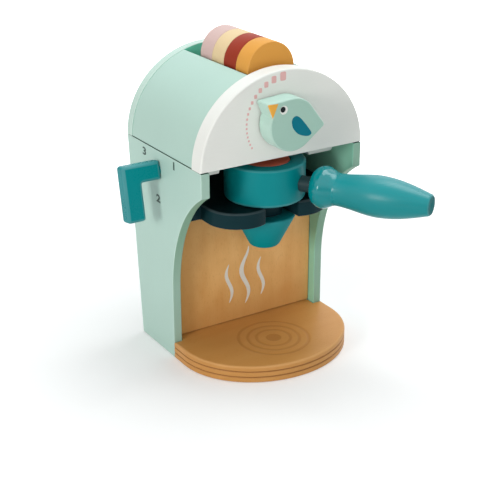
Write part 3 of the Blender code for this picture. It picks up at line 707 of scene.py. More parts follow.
def prism(outline, low_end, high_end, place, low_edge, high_edge=None):
    """A solid over an outline, with both rims rounded."""
    outline = anticlockwise(outline)
    levels = rim_levels(low_end, low_edge, -1)[::-1]
    levels += rim_levels(high_end, low_edge if high_edge is None else high_edge, 1)
    bm = bmesh.new()
    loops = [[bm.verts.new(place(u, v, height)) for u, v in inset(outline, step)]
             for step, height in levels]
    weave(bm, loops)
    bm.faces.new(loops[0])
    bm.faces.new(loops[-1])
    bmesh.ops.remove_doubles(bm, verts=bm.verts, dist=SAME_PLACE)
    bmesh.ops.recalc_face_normals(bm, faces=bm.faces)
    return bm


def ring(bm, radius, height, steps, centre_y=0):
    """Corners on a circle about an upright axis, or the one corner on the axis."""
    if radius == 0:
        return [bm.verts.new((0, centre_y, height))]
    return [bm.verts.new((x, y, height)) for x, y in circle((0, centre_y), radius, steps)]


def turned(profile, steps=ROUND_STEPS):
    """A solid turned about Z from (radius, height) points that start and end on the axis."""
    bm = bmesh.new()
    weave(bm, [ring(bm, radius, height, steps) for radius, height in profile])
    bmesh.ops.recalc_face_normals(bm, faces=bm.faces)
    return bm


def fillet(centre_r, centre_h, radius, start, sweep=math.pi / 2):
    return arc((centre_r, centre_h), radius, start, start + sweep, EDGE_STEPS)


def foot_rim(radius, height, edge):
    """The rounded rim of a turned solid's lower end, after a narrow strip of its flat."""
    rim = fillet(radius - edge, height + edge, edge, -math.pi / 2)
    return [(radius - edge - SUPPORT, height)] + rim


def top_rim(radius, height, edge):
    rim = fillet(radius - edge, height - edge, edge, 0)
    return rim + [(radius - edge - SUPPORT, height)]


def mark_edges(mesh):
    """Write the attribute that is 1 on sharply curved rims and 0 elsewhere."""
    bm = bmesh.new()
    bm.from_mesh(mesh)
    gentle, tight = EDGE_ANGLES
    values = []
    for vert in bm.verts:
        turn = max((edge.calc_face_angle_signed(0) for edge in vert.link_edges), default=0)
        values.append(min(1, max(0, (turn - gentle) / (tight - gentle))))
    bm.free()
    mark = mesh.attributes.new("edge", "FLOAT", "POINT")
    mark.data.foreach_set("value", values)


def mark_faces(mesh, title, test):
    """Write an attribute of the faces from their outward directions."""
    values = [float(test(face.normal)) for face in mesh.polygons]
    mesh.attributes.new(title, "FLOAT", "FACE").data.foreach_set("value", values)


def placed(name, data):
    """A new object in the scene."""
    holder = bpy.data.objects.new(name, data)
    bpy.context.scene.collection.objects.link(holder)
    return holder


def plain_mesh(holder):
    """The mesh that an object's curve or modifiers give. The object itself goes."""
    shown = holder.evaluated_get(bpy.context.evaluated_depsgraph_get())
    mesh = bpy.data.meshes.new_from_object(shown)
    holder.modifiers.clear()
    bpy.data.objects.remove(holder)
    return mesh


def piece(name, bm, finish, body, slot, *stands_for, matrix=None):
    """Name a finished mesh as one piece that rides on a body of the frame."""
    mesh = bpy.data.meshes.new(name)
    bm.to_mesh(mesh)
    bm.free()
    return dressed(name, mesh, finish, body, slot, *stands_for, matrix=matrix)


def dressed(name, mesh, finish, body, slot, *stands_for, matrix=None):
    if matrix is not None:
        mesh.transform(matrix)
    mesh.materials.clear()
    mesh.materials.append(finish)
    mesh.shade_smooth()
    mesh.set_sharp_from_angle(angle=SHARP_ANGLE)
    mark_edges(mesh)
    made = placed(name, mesh)
    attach(made, body)
    if stands_for:
        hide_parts(*stands_for)
    return made


def board(name, outline, place, finish, slot, node, *edges, body="root", matrix=None):
    """A prism that ends where a node of the frame does, along the way it is seen."""
    axis = place(0, 0, 1).index(1)
    bm = prism(outline, low(node)[axis], high(node)[axis], place, *edges)
    return piece(name, bm, finish, body, slot, node, matrix=matrix)


# Base
def base_outline():
    """The base from above: an elliptical nose, then a tongue between the side panels."""
    centre_y = COLUMN_Y - FIT - BASE_STRAIGHT
    nose = centre_y - NOSE_Y
    front = ellipse((0, centre_y), HALF_WIDTH, nose, math.pi, math.tau, ARCH_STEPS)
    shoulder = COLUMN_Y - FIT
    rear = high("base_plate").y
    return front + [(HALF_WIDTH, shoulder), (BOARD_HALF, shoulder), (BOARD_HALF, rear),
                    (-BOARD_HALF, rear), (-BOARD_HALF, shoulder), (-HALF_WIDTH, shoulder)]


def base_levels():
    """The edge of the base from its foot to its top: three boards with rounded rims."""
    layer = BASE_TOP_Z / BASE_LAYERS
    levels = []
    for i in range(BASE_LAYERS):
        top_edge = BASE_TOP_EDGE if i == BASE_LAYERS - 1 else LAYER_EDGE
        levels += rim_levels(layer * i, LAYER_EDGE, -1)[-2::-1]
        levels += rim_levels(layer * (i + 1), top_edge, 1)[:-1]
    deepest = levels[0][0]
    return [(deepest + SUPPORT, 0)] + levels


def ring_height(reach):
    """Height of the base's top at a distance from the centre of the rings."""
    dip = 0
    for radius in RING_RADII:
        off = abs(reach - radius) / RING_HALF_WIDTH
        if off < 1:
            dip = RING_DEPTH * (1 + math.cos(math.pi * off)) / 2
    spot = (SPOT_RADIUS - reach) / RING_HALF_WIDTH
    dip = max(dip, RING_DEPTH * min(1, max(0, spot)))
    return BASE_TOP_Z - dip


def dress_base():
    outline = anticlockwise(base_outline())
    bm = bmesh.new()
    loops = [[bm.verts.new((x, y, height)) for x, y in inset(outline, step)]
             for step, height in base_levels()]
    weave(bm, loops)
    bm.faces.new(loops[0])
    reach = RING_RADII[0] + RING_MARGIN
    steps = int(reach / (RING_HALF_WIDTH / 4))
    radii = [reach * i / steps for i in range(steps + 1)]
    rings = [ring(bm, radius, ring_height(radius), ROUND_STEPS, RING_CENTRE_Y)
             for radius in radii]
    weave(bm, rings)
    rims = [bm.edges.get((loop[i], loop[i - 1])) for loop in (loops[-1], rings[-1])
            for i in range(len(loop))]
    bmesh.ops.triangle_fill(bm, edges=rims, use_beauty=True, normal=(0, 0, 1))
    bmesh.ops.recalc_face_normals(bm, faces=bm.faces)
    base = piece("base_board", bm, ringed_beech("base_beech"), "root", "bare_wood", "base_plate")
    mark_faces(base.data, "side", lambda normal: abs(normal.z) < SAWN_LIMIT)


# Cabinet
def side_panel_outline():
    """A side panel from the side: a straight nose, a hollow front curve and a leaning rear."""
    front_y, rear_y = low("left_side_panel").y, high("left_side_panel").y
    top = high("left_side_panel").z
    sweep = math.acos(1 - (COLUMN_Y - front_y) / PANEL_CURVE_DEPTH)
    foot = SEAM_Z - PANEL_NOSE_HEIGHT - PANEL_CURVE_HEIGHT * math.sin(sweep)
    curve = ellipse((COLUMN_Y - PANEL_CURVE_DEPTH, foot), PANEL_CURVE_DEPTH,
                    PANEL_CURVE_HEIGHT, 0, sweep, SMALL_STEPS)
    return [(COLUMN_Y, 0)] + curve + [(front_y, top), (rear_y, top), (rear_y - REAR_TAPER, 0)]


def sawn_and_shade_share(normal, straight):
    """How much of the darker edge colour a side panel's face has: some on each board edge, and more
    as painted shade on edges that look down.
    """
    if abs(normal.x) > SAWN_LIMIT:
        return 0
    return REAR_SHARE if normal.y > 0 else min(1, straight - normal.z / DOWNWARD_SHADE_SLOPE)


def dress_cabinet(mint):
    # board edges partly in painted shade, inner faces in painted shade, a painted shadow along the
    # seam
    board_mint = painted("panel_mint_paint", MINT, 0.44, edge_and_shade_colour=SAWN_AND_SHADE_MINT, inner=SHADED_INNER_MINT,
                         seam=True)
    for name, side in (("left", -1), ("right", 1)):
        cheek = board(f"{name}_cheek", side_panel_outline(), seen_from_side, board_mint,
                      "mint_paint", f"{name}_side_panel", PANEL_EDGE)
        # painted shade on edges that look down, and a painted shadow on the right panel's front
        # edges
        mark_faces(cheek.data, "sawn_and_shade",
                   lambda normal: sawn_and_shade_share(normal, STRAIGHT_SHARE[name]))
        # painted shade on the panels' inner faces
        mark_faces(cheek.data, "in_shade", lambda normal: normal.x * side < -SAWN_LIMIT)
    lowest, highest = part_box("back_panel")
    outline = [(lowest.x, lowest.z), (highest.x, lowest.z), (highest.x, highest.z),
               (lowest.x, highest.z)]
    board("splash_board", outline, seen_from_front, joined_beech("back_beech"), "bare_wood",
          "back_panel", BOARD_EDGE)
    lowest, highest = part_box("rear_panel")
    rear_foot = highest.y - REAR_TAPER
    outline = [(rear_foot - REAR_PANEL_THICKNESS, lowest.z),
               (highest.y - REAR_PANEL_THICKNESS, highest.z),
               (highest.y, highest.z), (rear_foot, lowest.z)]
    board("rear_board", outline, seen_from_side, mint, "mint_paint", "rear_panel", BOARD_EDGE)


# Head
def arch(drawn_in, start, end, steps):
    """A stretch of the head's half ellipse from the front, drawn in by a distance."""
    return ellipse((0, SEAM_Z), HALF_WIDTH - drawn_in, ARCH_RISE - drawn_in, start, end, steps)


def arch_turn(drawn_in, x):
    """Where the arch is this far from the middle plane."""
    return math.acos(x / (HALF_WIDTH - drawn_in))


def dress_head(mint, white):
    whole = arch(0, 0, math.pi, ARCH_STEPS)
    board("front_arch", whole, seen_from_front, white, "white_paint", "front_fascia",
          FASCIA_EDGE, REAR_PLATE_EDGE)
    rim_mint = painted("rim_mint", RIM_MINT, along="x", inner=SHADED_SLOT_MINT)
    plate = board("rear_arch", whole, seen_from_front, rim_mint, "mint_paint",
                  "rear_arch_plate", REAR_PLATE_EDGE)
    # painted shade on the plate's face inside the slot
    mark_faces(plate.data, "in_shade", lambda normal: normal.y < -FACING_LIMIT)
    for side, node in ((-1, "left_dome_shell"), (1, "right_dome_shell")):
        outline = (arch(SHELL_STEP, 0, arch_turn(SHELL_STEP, SLOT_HALF), SMALL_STEPS)
                   + arch(SHELL_INSIDE, arch_turn(SHELL_INSIDE, SLOT_HALF), 0, SMALL_STEPS))
        outline = eased_corners([(side * x, z) for x, z in outline], SHELL_EDGE)
        board(node.replace("dome_shell", "roof"), outline, seen_from_front, mint,
              "mint_paint", node, SHELL_EDGE)
    dress_inner_board(white)
    dress_tray()


def dress_inner_board(white):
    drawn_in = SHELL_INSIDE + FIT
    foot, top = low("inner_board").z, high("inner_board").z
    crown = CUP_TOP_Z + INNER_ARCH_CLEARANCE - foot
    side = arch(drawn_in, 0, math.asin((top - SEAM_Z) / (ARCH_RISE - drawn_in)), SMALL_STEPS)
    cut_out = ellipse((0, foot), CUP_RADIUS + INNER_ARCH_SIDE, crown, 0, math.pi, SMALL_STEPS)
    corner = arc((BOARD_HALF - INNER_CORNER, foot + INNER_CORNER), INNER_CORNER, -math.pi / 2, 0,
                 CORNER_STEPS)
    right = corner + [(BOARD_HALF, SEAM_Z - FIT)] + side
    board("inner_bridge", right + mirrored(right) + cut_out[::-1], seen_from_front, white,
          "white_paint", "inner_board", BOARD_EDGE)


def dress_tray():
    lowest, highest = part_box("pod_tray")
    drawn_in = SHELL_INSIDE + FIT
    floor_top = low("pod_mustard").z - FIT
    lip = arch(drawn_in, arch_turn(drawn_in, highest.x), arch_turn(drawn_in, SLOT_HALF),
               CORNER_STEPS)
    right = [(highest.x, lowest.z)] + lip + [(SLOT_HALF, floor_top)]
    # the whole trough is painted in the slot's shade
    board("tray_trough", right + mirrored(right), seen_from_front,
          painted("inner_mint", SHADED_SLOT_MINT, along="y"), "mint_paint", "pod_tray", TRAY_EDGE)


# Fork
def fork_outline():
    """The fork from above: a shelf between the side panels with two round-ended prongs."""
    slot = half_across("filter_neck") + FORK_SLOT_PLAY
    side = INNER_HALF - FORK_SIDE_GAP
    centre = (FORK_PRONG_RADIUS - side, FORK_PRONG_RADIUS - FORK_NOSE)
    last = math.tau - math.acos((-slot - centre[0]) / FORK_PRONG_RADIUS)
    left = [(-BOARD_HALF, high("filter_fork").y - CUP_Y), (-BOARD_HALF, FORK_SHELF_SETBACK),
            (-side, FORK_SHELF_SETBACK)]
    left += arc(centre, FORK_PRONG_RADIUS, math.pi, last, SMALL_STEPS // 2)
    left += arc((0, 0), slot, math.pi, math.pi / 2, SMALL_STEPS)
    outline = eased_corners(left + mirrored(left[:-1]), FORK_PRONG_CORNER)
    return [(x, y + CUP_Y) for x, y in outline]


def dress_fork(navy):
    fork = board("holder_fork", fork_outline(), seen_from_above, navy, "navy_paint",
                 "filter_fork", FORK_FOOT_EDGE, FORK_TOP_EDGE)
    # painted shade on the fork's top faces
    mark_faces(fork.data, "in_shade", lambda normal: normal.z > FACING_LIMIT)


# Pods
def pod_mesh(centre, loaded):
    """A disc on edge in the slot, or the flat and slightly smaller one in the cup."""
    half = POD_THICKNESS / 2
    radius = POD_RADIUS - LOADED_POD_STEP if loaded else POD_RADIUS
    bm = turned([(0, -half)] + foot_rim(radius, -half, POD_EDGE)
                + top_rim(radius, half, POD_EDGE) + [(0, half)])
    turn = Matrix.Identity(4) if loaded else Matrix.Rotation(-math.pi / 2, 4, "X")
    bm.transform(Matrix.Translation(centre) @ turn)
    return bm


def dress_pods():
    colours = {"mustard": MUSTARD, "dark_red": DARK_RED, "cream": CREAM, "pink": PINK,
               "loaded": BRICK}
    for title, colour in colours.items():
        loaded = title == "loaded"
        lowest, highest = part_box(f"pod_{title}")
        finish = painted(f"{title}_pod_paint", colour, 0.46, along="z" if loaded else "y",
                         grain=0.6, specular=0.06, wear_and_sheen=0.04)
        piece(f"{title}_disc", pod_mesh((lowest + highest) / 2, loaded), finish, f"{title}_pod",
              "brick_paint" if loaded else f"{title}_paint", f"pod_{title}")


# Filter holder
def holder_matrix(height, along_x=False):
    """From a piece about its own Z axis to its place about the axis of the cup."""
    turn = Matrix.Rotation(HANDLE_AZIMUTH - math.pi / 2, 4, "Z")
    tip = Matrix.Rotation(math.pi / 2, 4, "Y") if along_x else Matrix.Identity(4)
    return Matrix.Translation((0, CUP_Y, 0)) @ turn @ Matrix.Translation((0, 0, height)) @ tip


def cup_profile():
    radius, bore = CUP_RADIUS, POD_RADIUS + POD_PLAY - LOADED_POD_STEP
    bore_floor = low("pod_loaded").z - FIT
    tenon, mouth = TENON_RADIUS + FIT, CUP_TOP_EDGE / 2
    points = [(0, CUP_FOOT_Z + TENON_LENGTH), (tenon, CUP_FOOT_Z + TENON_LENGTH),
              (tenon, CUP_FOOT_Z)]
    points += foot_rim(radius, CUP_FOOT_Z, CUP_FOOT_EDGE)
    points += top_rim(radius, CUP_TOP_Z, CUP_TOP_EDGE) + [(bore + mouth + SUPPORT, CUP_TOP_Z)]
    points += fillet(bore + mouth, CUP_TOP_Z - mouth, mouth, math.pi / 2)
    return points + [(bore, bore_floor), (0, bore_floor)]


def neck_profile():
    foot, top = low("filter_neck").z, high("filter_neck").z
    lower, upper = foot + TENON_LENGTH, top - TENON_LENGTH
    radius = half_across("filter_neck")
    points = [(0, foot), (TENON_RADIUS, foot), (TENON_RADIUS, lower)]
    points += foot_rim(radius, lower, NECK_EDGE)[1:] + top_rim(radius, upper, NECK_EDGE)[:-1]
    return points + [(TENON_RADIUS, upper), (TENON_RADIUS, top), (0, top)]


def spout_profile():
    foot, top = low("filter_spout").z, high("filter_spout").z
    radius = half_across("filter_spout")
    slope = math.atan2(top - foot, radius - SPOUT_TIP_RADIUS)
    tenon = TENON_RADIUS + FIT
    points = [(0, foot), (SPOUT_TIP_RADIUS - SPOUT_TIP_EDGE - SUPPORT, foot)]
    points += fillet(SPOUT_TIP_RADIUS - SPOUT_TIP_EDGE, foot + SPOUT_TIP_EDGE, SPOUT_TIP_EDGE,
                     -math.pi / 2, slope)
    points += fillet(radius - SPOUT_TOP_EDGE, top - SPOUT_TOP_EDGE, SPOUT_TOP_EDGE,
                     slope - math.pi / 2, math.pi - slope)
    return points + [(radius - SPOUT_TOP_EDGE - SUPPORT, top), (tenon, top),
                     (tenon, top - TENON_LENGTH), (0, top - TENON_LENGTH)]


def dowel_profile(start, end):
    return [(0, start), (DOWEL_RADIUS, start), (DOWEL_RADIUS, start + SUPPORT),
            (DOWEL_RADIUS, end - SUPPORT), (DOWEL_RADIUS, end), (0, end)]


def handle_end_profile():
    """The thin disc of end grain at the tip of the handle."""
    radius, foot = TIP_RADIUS - TIP_EDGE * TIP_SHARE, HANDLE_LENGTH - TIP_EDGE
    return [(0, foot), (radius, foot), (radius, HANDLE_LENGTH),
            (radius - PRINT_DEPTH, HANDLE_LENGTH + PRINT_DEPTH), (0, HANDLE_LENGTH + PRINT_DEPTH)]


def dress_holder(teal, matte, navy, glossy):
    body = "filter_holder"
    upright = holder_matrix(0)
    level = holder_matrix(CUP_FOOT_Z + HANDLE_RISE, along_x=True)
    grip_start = CUP_RADIUS + HANDLE_STANDOFF
    place = level @ Matrix.Translation((0, 0, grip_start))
    dark = painted("dowel_paint", DOWEL_BLUE, 0.4, specular=0.12, wear_and_sheen=0.06)
    end_grain = painted("end_grain_teal", shade(TEAL, END_GRAIN_TONE), 0.6, specular=0.02)
    dowel = dowel_profile(CUP_RADIUS - DOWEL_CUP_DEPTH, grip_start + DOWEL_GRIP_DEPTH)
    for part, profile, finish, slot in (("cup", cup_profile(), teal, "teal_paint"),
                                        ("neck", neck_profile(), navy, "navy_paint"),
                                        ("spout", spout_profile(), matte, "teal_paint")):
        piece(f"{part}_of_holder", turned(profile), finish, body, slot, f"filter_{part}",
              matrix=upright)
    piece("dowel_of_handle", turned(dowel, SMALL_STEPS), dark, body, "navy_paint",
          "handle_dowel", matrix=level)
    dressed("turned_handle", turned_handle(glossy), glossy, body, "teal_paint", "filter_handle",
            matrix=place)
    piece("end_of_handle", turned(handle_end_profile()), end_grain, body, "teal_paint",
          matrix=place)


def socket_name(tree, name):
    return next(item.identifier for item in tree.interface.items_tree if item.name == name)


class Shape(Tree):
    """A Geometry Nodes tree with named inputs, and the mesh that it makes."""

    def __init__(self, name, inputs):
        tree = bpy.data.node_groups.new(name, "GeometryNodeTree")
        tree.interface.new_socket("Geometry", in_out="OUTPUT", socket_type="NodeSocketGeometry")
        self.values = inputs
        for title, value in inputs.items():
            kind = {float: "Float", int: "Int"}.get(type(value), "Material")
            tree.interface.new_socket(title, in_out="INPUT", socket_type=f"NodeSocket{kind}")
        super().__init__(tree)
        self.entry = tree.nodes.new("NodeGroupInput")

    def given(self, title):
        return Value(self.tree, self.entry.outputs[title])

    def point(self, **parts):
        return self.node("ShaderNodeCombineXYZ", {}, parts)

    def moved(self, geometry, place):
        return self.node("GeometryNodeSetPosition", {}, {"Geometry": geometry,
                                                         "Position": place})

    def made(self, geometry):
        """Realize the tree's instances, paint them and return the result as a plain mesh."""
        solid = self.node("GeometryNodeRealizeInstances", {}, {"Geometry": geometry})
        coated = self.node("GeometryNodeSetMaterial", {},
                           {"Geometry": solid, "Material": self.given("Finish")})
        exit_node = self.tree.nodes.new("NodeGroupOutput")
        join(self.tree, exit_node.inputs[0], coated)
        holder = placed(self.tree.name, bpy.data.meshes.new(self.tree.name))
        modifier = holder.modifiers.new(self.tree.name, "NODES")
        modifier.node_group = self.tree
        for title, value in self.values.items():
            modifier[socket_name(self.tree, title)] = value
        return plain_mesh(holder)


def turned_handle(finish):
    """The handle about Z: a line whose radius swells and narrows along it, swept by a circle."""
    shape = Shape("turned handle", {
        "Length": HANDLE_LENGTH, "Face radius": BULB_FACE_RADIUS, "Bulb radius": BULB_RADIUS,
        "Waist radius": WAIST_RADIUS, "Grip radius": GRIP_RADIUS, "Tip radius": TIP_RADIUS,
        "Rings": HANDLE_RINGS, "Sides": HANDLE_SIDES, "Finish": finish})
    face, bulb, waist, grip, tip = (shape.given(f"{part} radius")
                                    for part in ("Face", "Bulb", "Waist", "Grip", "Tip"))
    line = shape.node("GeometryNodeCurvePrimitiveLine", {}, {"End": (0, 0, 1)})
    line = shape.node("GeometryNodeResampleCurve", {}, {"Curve": line,
                                                        "Count": shape.given("Rings")})
    factor = shape.node("GeometryNodeSplineParameter", out="Factor")
    along = factor ** RING_CROWDING
    nose = (1 - along / BULB_SHARE).most(0)
    swell = face + (bulb - face) * (1 - nose * nose) ** 0.5
    to_waist = shape.smooth(along, BULB_SHARE, WAIST_SHARE)
    to_grip = shape.smooth(along, WAIST_SHARE, GRIP_SHARE)
    fall = ((along - GRIP_SHARE) / (1 - GRIP_SHARE)).most(0)
    to_tip = 1 - (fall * (math.pi / 2)).math("COSINE")
    radius = swell + (waist - bulb) * to_waist + (grip - waist) * to_grip + (tip - grip) * to_tip
    end = ((1 - along) * (HANDLE_LENGTH / TIP_EDGE)).least(1)
    radius = radius - TIP_EDGE * (1 - (1 - (1 - end) ** 2) ** 0.5)
    line = shape.node("GeometryNodeSetCurveRadius", {}, {"Curve": line, "Radius": radius})
    line = shape.moved(line, shape.point(Z=along * shape.given("Length")))
    section = shape.node("GeometryNodeCurvePrimitiveCircle", {}, {
        "Resolution": shape.given("Sides"), "Radius": 1.0})
    swept = shape.node("GeometryNodeCurveToMesh", {}, {
        "Curve": line, "Profile Curve": section, "Fill Caps": True,
        "Scale": shape.node("GeometryNodeInputRadius")})
    return shape.made(swept)


# Dial knob
def bird_outline():
    """A round bird: a circle with a pointed beak, drawn out to a tail along its tangents."""
    beak = math.acos(BIRD_RADIUS / BEAK_REACH)
    tail = math.acos(BIRD_RADIUS / TAIL_REACH)
    tips = [(BIRD_MIDDLE[0] + reach * math.cos(angle), BIRD_MIDDLE[1] + reach * math.sin(angle),
             corner) for reach, angle, corner in ((BEAK_REACH, BEAK_ANGLE, BEAK_CORNER),
                                                  (TAIL_REACH, TAIL_ANGLE, TAIL_CORNER))]
    top = arc(BIRD_MIDDLE, BIRD_RADIUS, TAIL_ANGLE + tail, BEAK_ANGLE - beak, SMALL_STEPS)
    foot = arc(BIRD_MIDDLE, BIRD_RADIUS, BEAK_FOOT_ANGLE, math.tau + TAIL_ANGLE - tail, ARCH_STEPS)
    return rounded([(u, v, 0) for u, v in top] + [tips[0]] + [(u, v, 0) for u, v in foot]
                   + [tips[1]])


def closed_curve(points, steps):
    """A smooth closed outline through points, by a Catmull-Rom spline."""
    count = len(points)
    places = [Vector(point) for point in points]
    outline = []
    for i in range(count):
        a, b, c, d = (places[(i + k) % count] for k in (-1, 0, 1, 2))
        for k in range(steps):
            t = k / steps
            spot = 0.5 * (2 * b + (c - a) * t + (2 * a - 5 * b + 4 * c - d) * t ** 2
                          + (3 * b - a - 3 * c + d) * t ** 3)
            outline.append(tuple(spot))
    return outline


def dress_knob():
    front = low("bird_knob").y
    place = Matrix.Translation((0, 0, KNOB_Z))
    board("bird_dial", bird_outline(), seen_from_front, bird_paint("bird_paint", front),
          "mint_paint", "bird_knob", KNOB_FRONT_EDGE, KNOB_REAR_EDGE, body="knob",
          matrix=place)
    top = front - PRINT_DEPTH
    marks = (("eye_white", circle(EYE_PLACE, EYE_WHITE_RADIUS), top, WHITE),
             ("eye_pupil", circle(PUPIL_PLACE, PUPIL_RADIUS), top - PRINT_DEPTH, PUPIL),
             ("wing_print", closed_curve(WING_MARK, WING_STEPS), top, WING))
    for name, outline, height, colour in marks:
        bm = prism(outline, height, front + PRINT_DEPTH, seen_from_front, PRINT_DEPTH / 2)
        piece(name, bm, printed(f"{name}_paint", colour, 0.4), "knob", "mint_paint",
              matrix=place)


def bird_paint(name, front):
    """The bird's paint, with the beak painted on its front face."""
    paint = Paint(name, *SATIN, "x")
    x, y, z = paint.parts(paint.place)
    height = z - KNOB_Z
    distances = []
    for (u0, v0), (u1, v1) in zip(BEAK_MARK, BEAK_MARK[1:] + BEAK_MARK[:1]):
        length = math.hypot(u1 - u0, v1 - v0)
        distances.append((x - u0) * ((v0 - v1) / length) + (height - v0) * ((u1 - u0) / length))
    beak = 1 - paint.smooth(reduce(Value.most, distances), -BEAK_BLUR, BEAK_BLUR)
    face = 1 - paint.smooth(y, front + KNOB_FRONT_EDGE * FACE_SHARE, front + KNOB_FRONT_EDGE)
    body = paint.blend(face, paint.clouded(BIRD_SIDE), paint.clouded(BIRD_FACE))
    body = paint.worn_and_lit(body, BIRD_SIDE, WEAR_AND_SHEEN)
    return paint.covered(paint.blend(beak * face, body, BEAK), paint.roughness)


# Side lever
def dress_lever(finish):
    inner = -LEVER_CLEARANCE
    outer = -STAND_GAP - LEVER_REACH
    top = LEVER_ARM_HEIGHT / 2
    foot = top - LEVER_LENGTH
    elbow = outer + LEVER_GRIP_WIDTH
    outline = rounded([(inner, top, LEVER_EDGE / 2), (outer, top, LEVER_EDGE),
                       (outer, foot, LEVER_EDGE), (elbow, foot, LEVER_EDGE),
                       (elbow, -top, LEVER_EDGE / 2), (inner, -top, LEVER_EDGE / 2)])
    bm = prism(outline, -LEVER_DEPTH / 2, LEVER_DEPTH / 2, seen_from_front, LEVER_EDGE)
    place = Matrix.Translation(LEVER_PIVOT) @ Matrix.Rotation(-LEVER_TILT, 4, "X")
    piece("crank_lever", bm, finish, "lever", "teal_paint", "side_lever", matrix=place)


# Printed marks
def dial_marks(finish):
    """Rounded bars on an arc that shrink and draw together as they go round."""
    shape = Shape("dial marks", {
        "Count": DIAL_COUNT, "Radius": DIAL_RADIUS, "Sweep": DIAL_SWEEP,
        "Largest width": DIAL_LARGE[0], "Largest height": DIAL_LARGE[1],
        "Smallest width": DIAL_SMALL[0], "Smallest height": DIAL_SMALL[1],
        "Depth": PRINT_DEPTH, "Start": DIAL_START, "Finish": finish})
    points = shape.node("GeometryNodePoints", {}, {"Count": shape.given("Count")})
    index = shape.node("GeometryNodeInputIndex")
    share = index / (shape.given("Count") - 1)
    decay = (1 - share) ** DIAL_DECAY
    angle = shape.given("Start") + shape.given("Sweep") * (
        share * DIAL_EVENNESS + (1 - decay) * (1 - DIAL_EVENNESS))
    points = shape.moved(points, shape.point(
        X=angle.math("SINE") * shape.given("Radius") * -1,
        Y=angle.math("COSINE") * shape.given("Radius")))
    least = [shape.given(f"Smallest {way}") for way in ("width", "height")]
    most = [shape.given(f"Largest {way}") for way in ("width", "height")]
    wide, tall = (small + (large - small) * decay for small, large in zip(least, most))
    bar = shape.node("GeometryNodeCurvePrimitiveQuadrilateral", {}, {"Width": 1.0, "Height": 1.0})
    bar = shape.node("GeometryNodeFilletCurve", {"mode": "POLY"}, {
        "Curve": bar, "Radius": BAR_CORNER, "Count": BAR_STEPS})
    bar = shape.node("GeometryNodeFillCurve", {"mode": "NGONS"}, {"Curve": bar})
    bar = shape.node("GeometryNodeExtrudeMesh", {}, {"Mesh": bar, "Offset Scale": 1.0})
    return shape.made(shape.node("GeometryNodeInstanceOnPoints", {}, {
        "Points": points, "Instance": bar,
        "Scale": shape.point(X=wide, Y=tall, Z=shape.given("Depth"))}))


def steam_wisp(height, swing, width, waves, finish):
    """A wavy stroke along Y that is thin at both ends, from a grid that is bent by formula."""
    shape = Shape("steam wisp", {
        "Height": height, "Swing": swing, "Width": width, "Waves": waves, "Depth": PRINT_DEPTH,
        "Finish": finish})
    grid = shape.node("GeometryNodeMeshGrid", {}, {
        "Size X": 1.0, "Size Y": 1.0, "Vertices X": 3, "Vertices Y": STROKE_STEPS})
    across, up = shape.parts(shape.node("GeometryNodeInputPosition"), "XY")
    along = up + 0.5
    phase = along * shape.given("Waves") * math.tau
    taper = (along * math.pi).math("SINE").most(0) ** STROKE_TAPER
    x = phase.math("SINE") * shape.given("Swing") + across * shape.given("Width") * taper
    grid = shape.moved(grid, shape.point(X=x, Y=along * shape.given("Height")))
    solid = shape.node("GeometryNodeExtrudeMesh", {}, {
        "Mesh": grid, "Offset Scale": shape.given("Depth"), "Individual": False})
    return shape.made(solid)


def join_bottom(mesh):
    """Close a print's open back, which lies on the board, so that its mesh is a solid."""
    bm = bmesh.new()
    bm.from_mesh(mesh)
    rims = [edge for edge in bm.edges if edge.is_boundary]
    bmesh.ops.holes_fill(bm, edges=rims, sides=0)
    bmesh.ops.recalc_face_normals(bm, faces=bm.faces)
    bm.to_mesh(mesh)
    bm.free()
    return mesh


def numeral_mesh(text):
    curve = bpy.data.curves.new(f"numeral_{text}", "FONT")
    curve.body = text
    curve.size = NUMERAL_SIZE
    curve.offset = NUMERAL_WEIGHT
    curve.extrude = PRINT_DEPTH
    curve.align_x, curve.align_y = "CENTER", "CENTER"
    return plain_mesh(placed(curve.name, curve))


def dress_prints():
    rose, steam, ink = (printed(*values) for values in (
        ("rose_print", ROSE), ("steam_print", STEAM), ("numeral_ink", INK)))
    upright = Matrix.Rotation(math.pi / 2, 4, "X")
    place = Matrix.Translation((0, FASCIA_Y, KNOB_Z)) @ upright
    dressed("dial_marks", join_bottom(dial_marks(rose)), rose, "root", "pink_paint", matrix=place)
    for i, (x, z, *form) in enumerate(STEAM_WISPS, start=1):
        mesh = join_bottom(steam_wisp(*form, steam))
        place = Matrix.Translation((x, low("back_panel").y, z)) @ upright
        dressed(f"steam_wisp_{i}", mesh, steam, "root", "white_paint", matrix=place)
    sideways = (Matrix.Rotation(-math.pi / 2, 4, "Z") @ upright
                @ Matrix.Scale(NUMERAL_STRETCH, 4, (1, 0, 0)))
    for text, y, z in NUMERAL_PLACES:
        place = Matrix.Translation((-HALF_WIDTH, y, z)) @ sideways
        dressed(f"numeral_{text}", numeral_mesh(text), ink, "root", "navy_paint", matrix=place)


# Inner pieces that keep the frame's own meshes
def dress_inner_pieces(teal):
    wood = Finish("dowel_beech", 0.55, 0.2)
    beech(wood, DOWEL, DOWEL_DARK, "y")
    names = [f"{kind}_pin_{i}" for kind in ("base", "fork", "seam") for i in range(1, 5)]
    names += [f"{owner}_{part}" for owner in ("knob", "lever")
              for part in ("axle", "washer", "collar")]
    for name in names:
        node = frame["nodes"][name]
        node.data.materials.clear()
        node.data.materials.append(teal if name == "lever_washer" else wood.material)


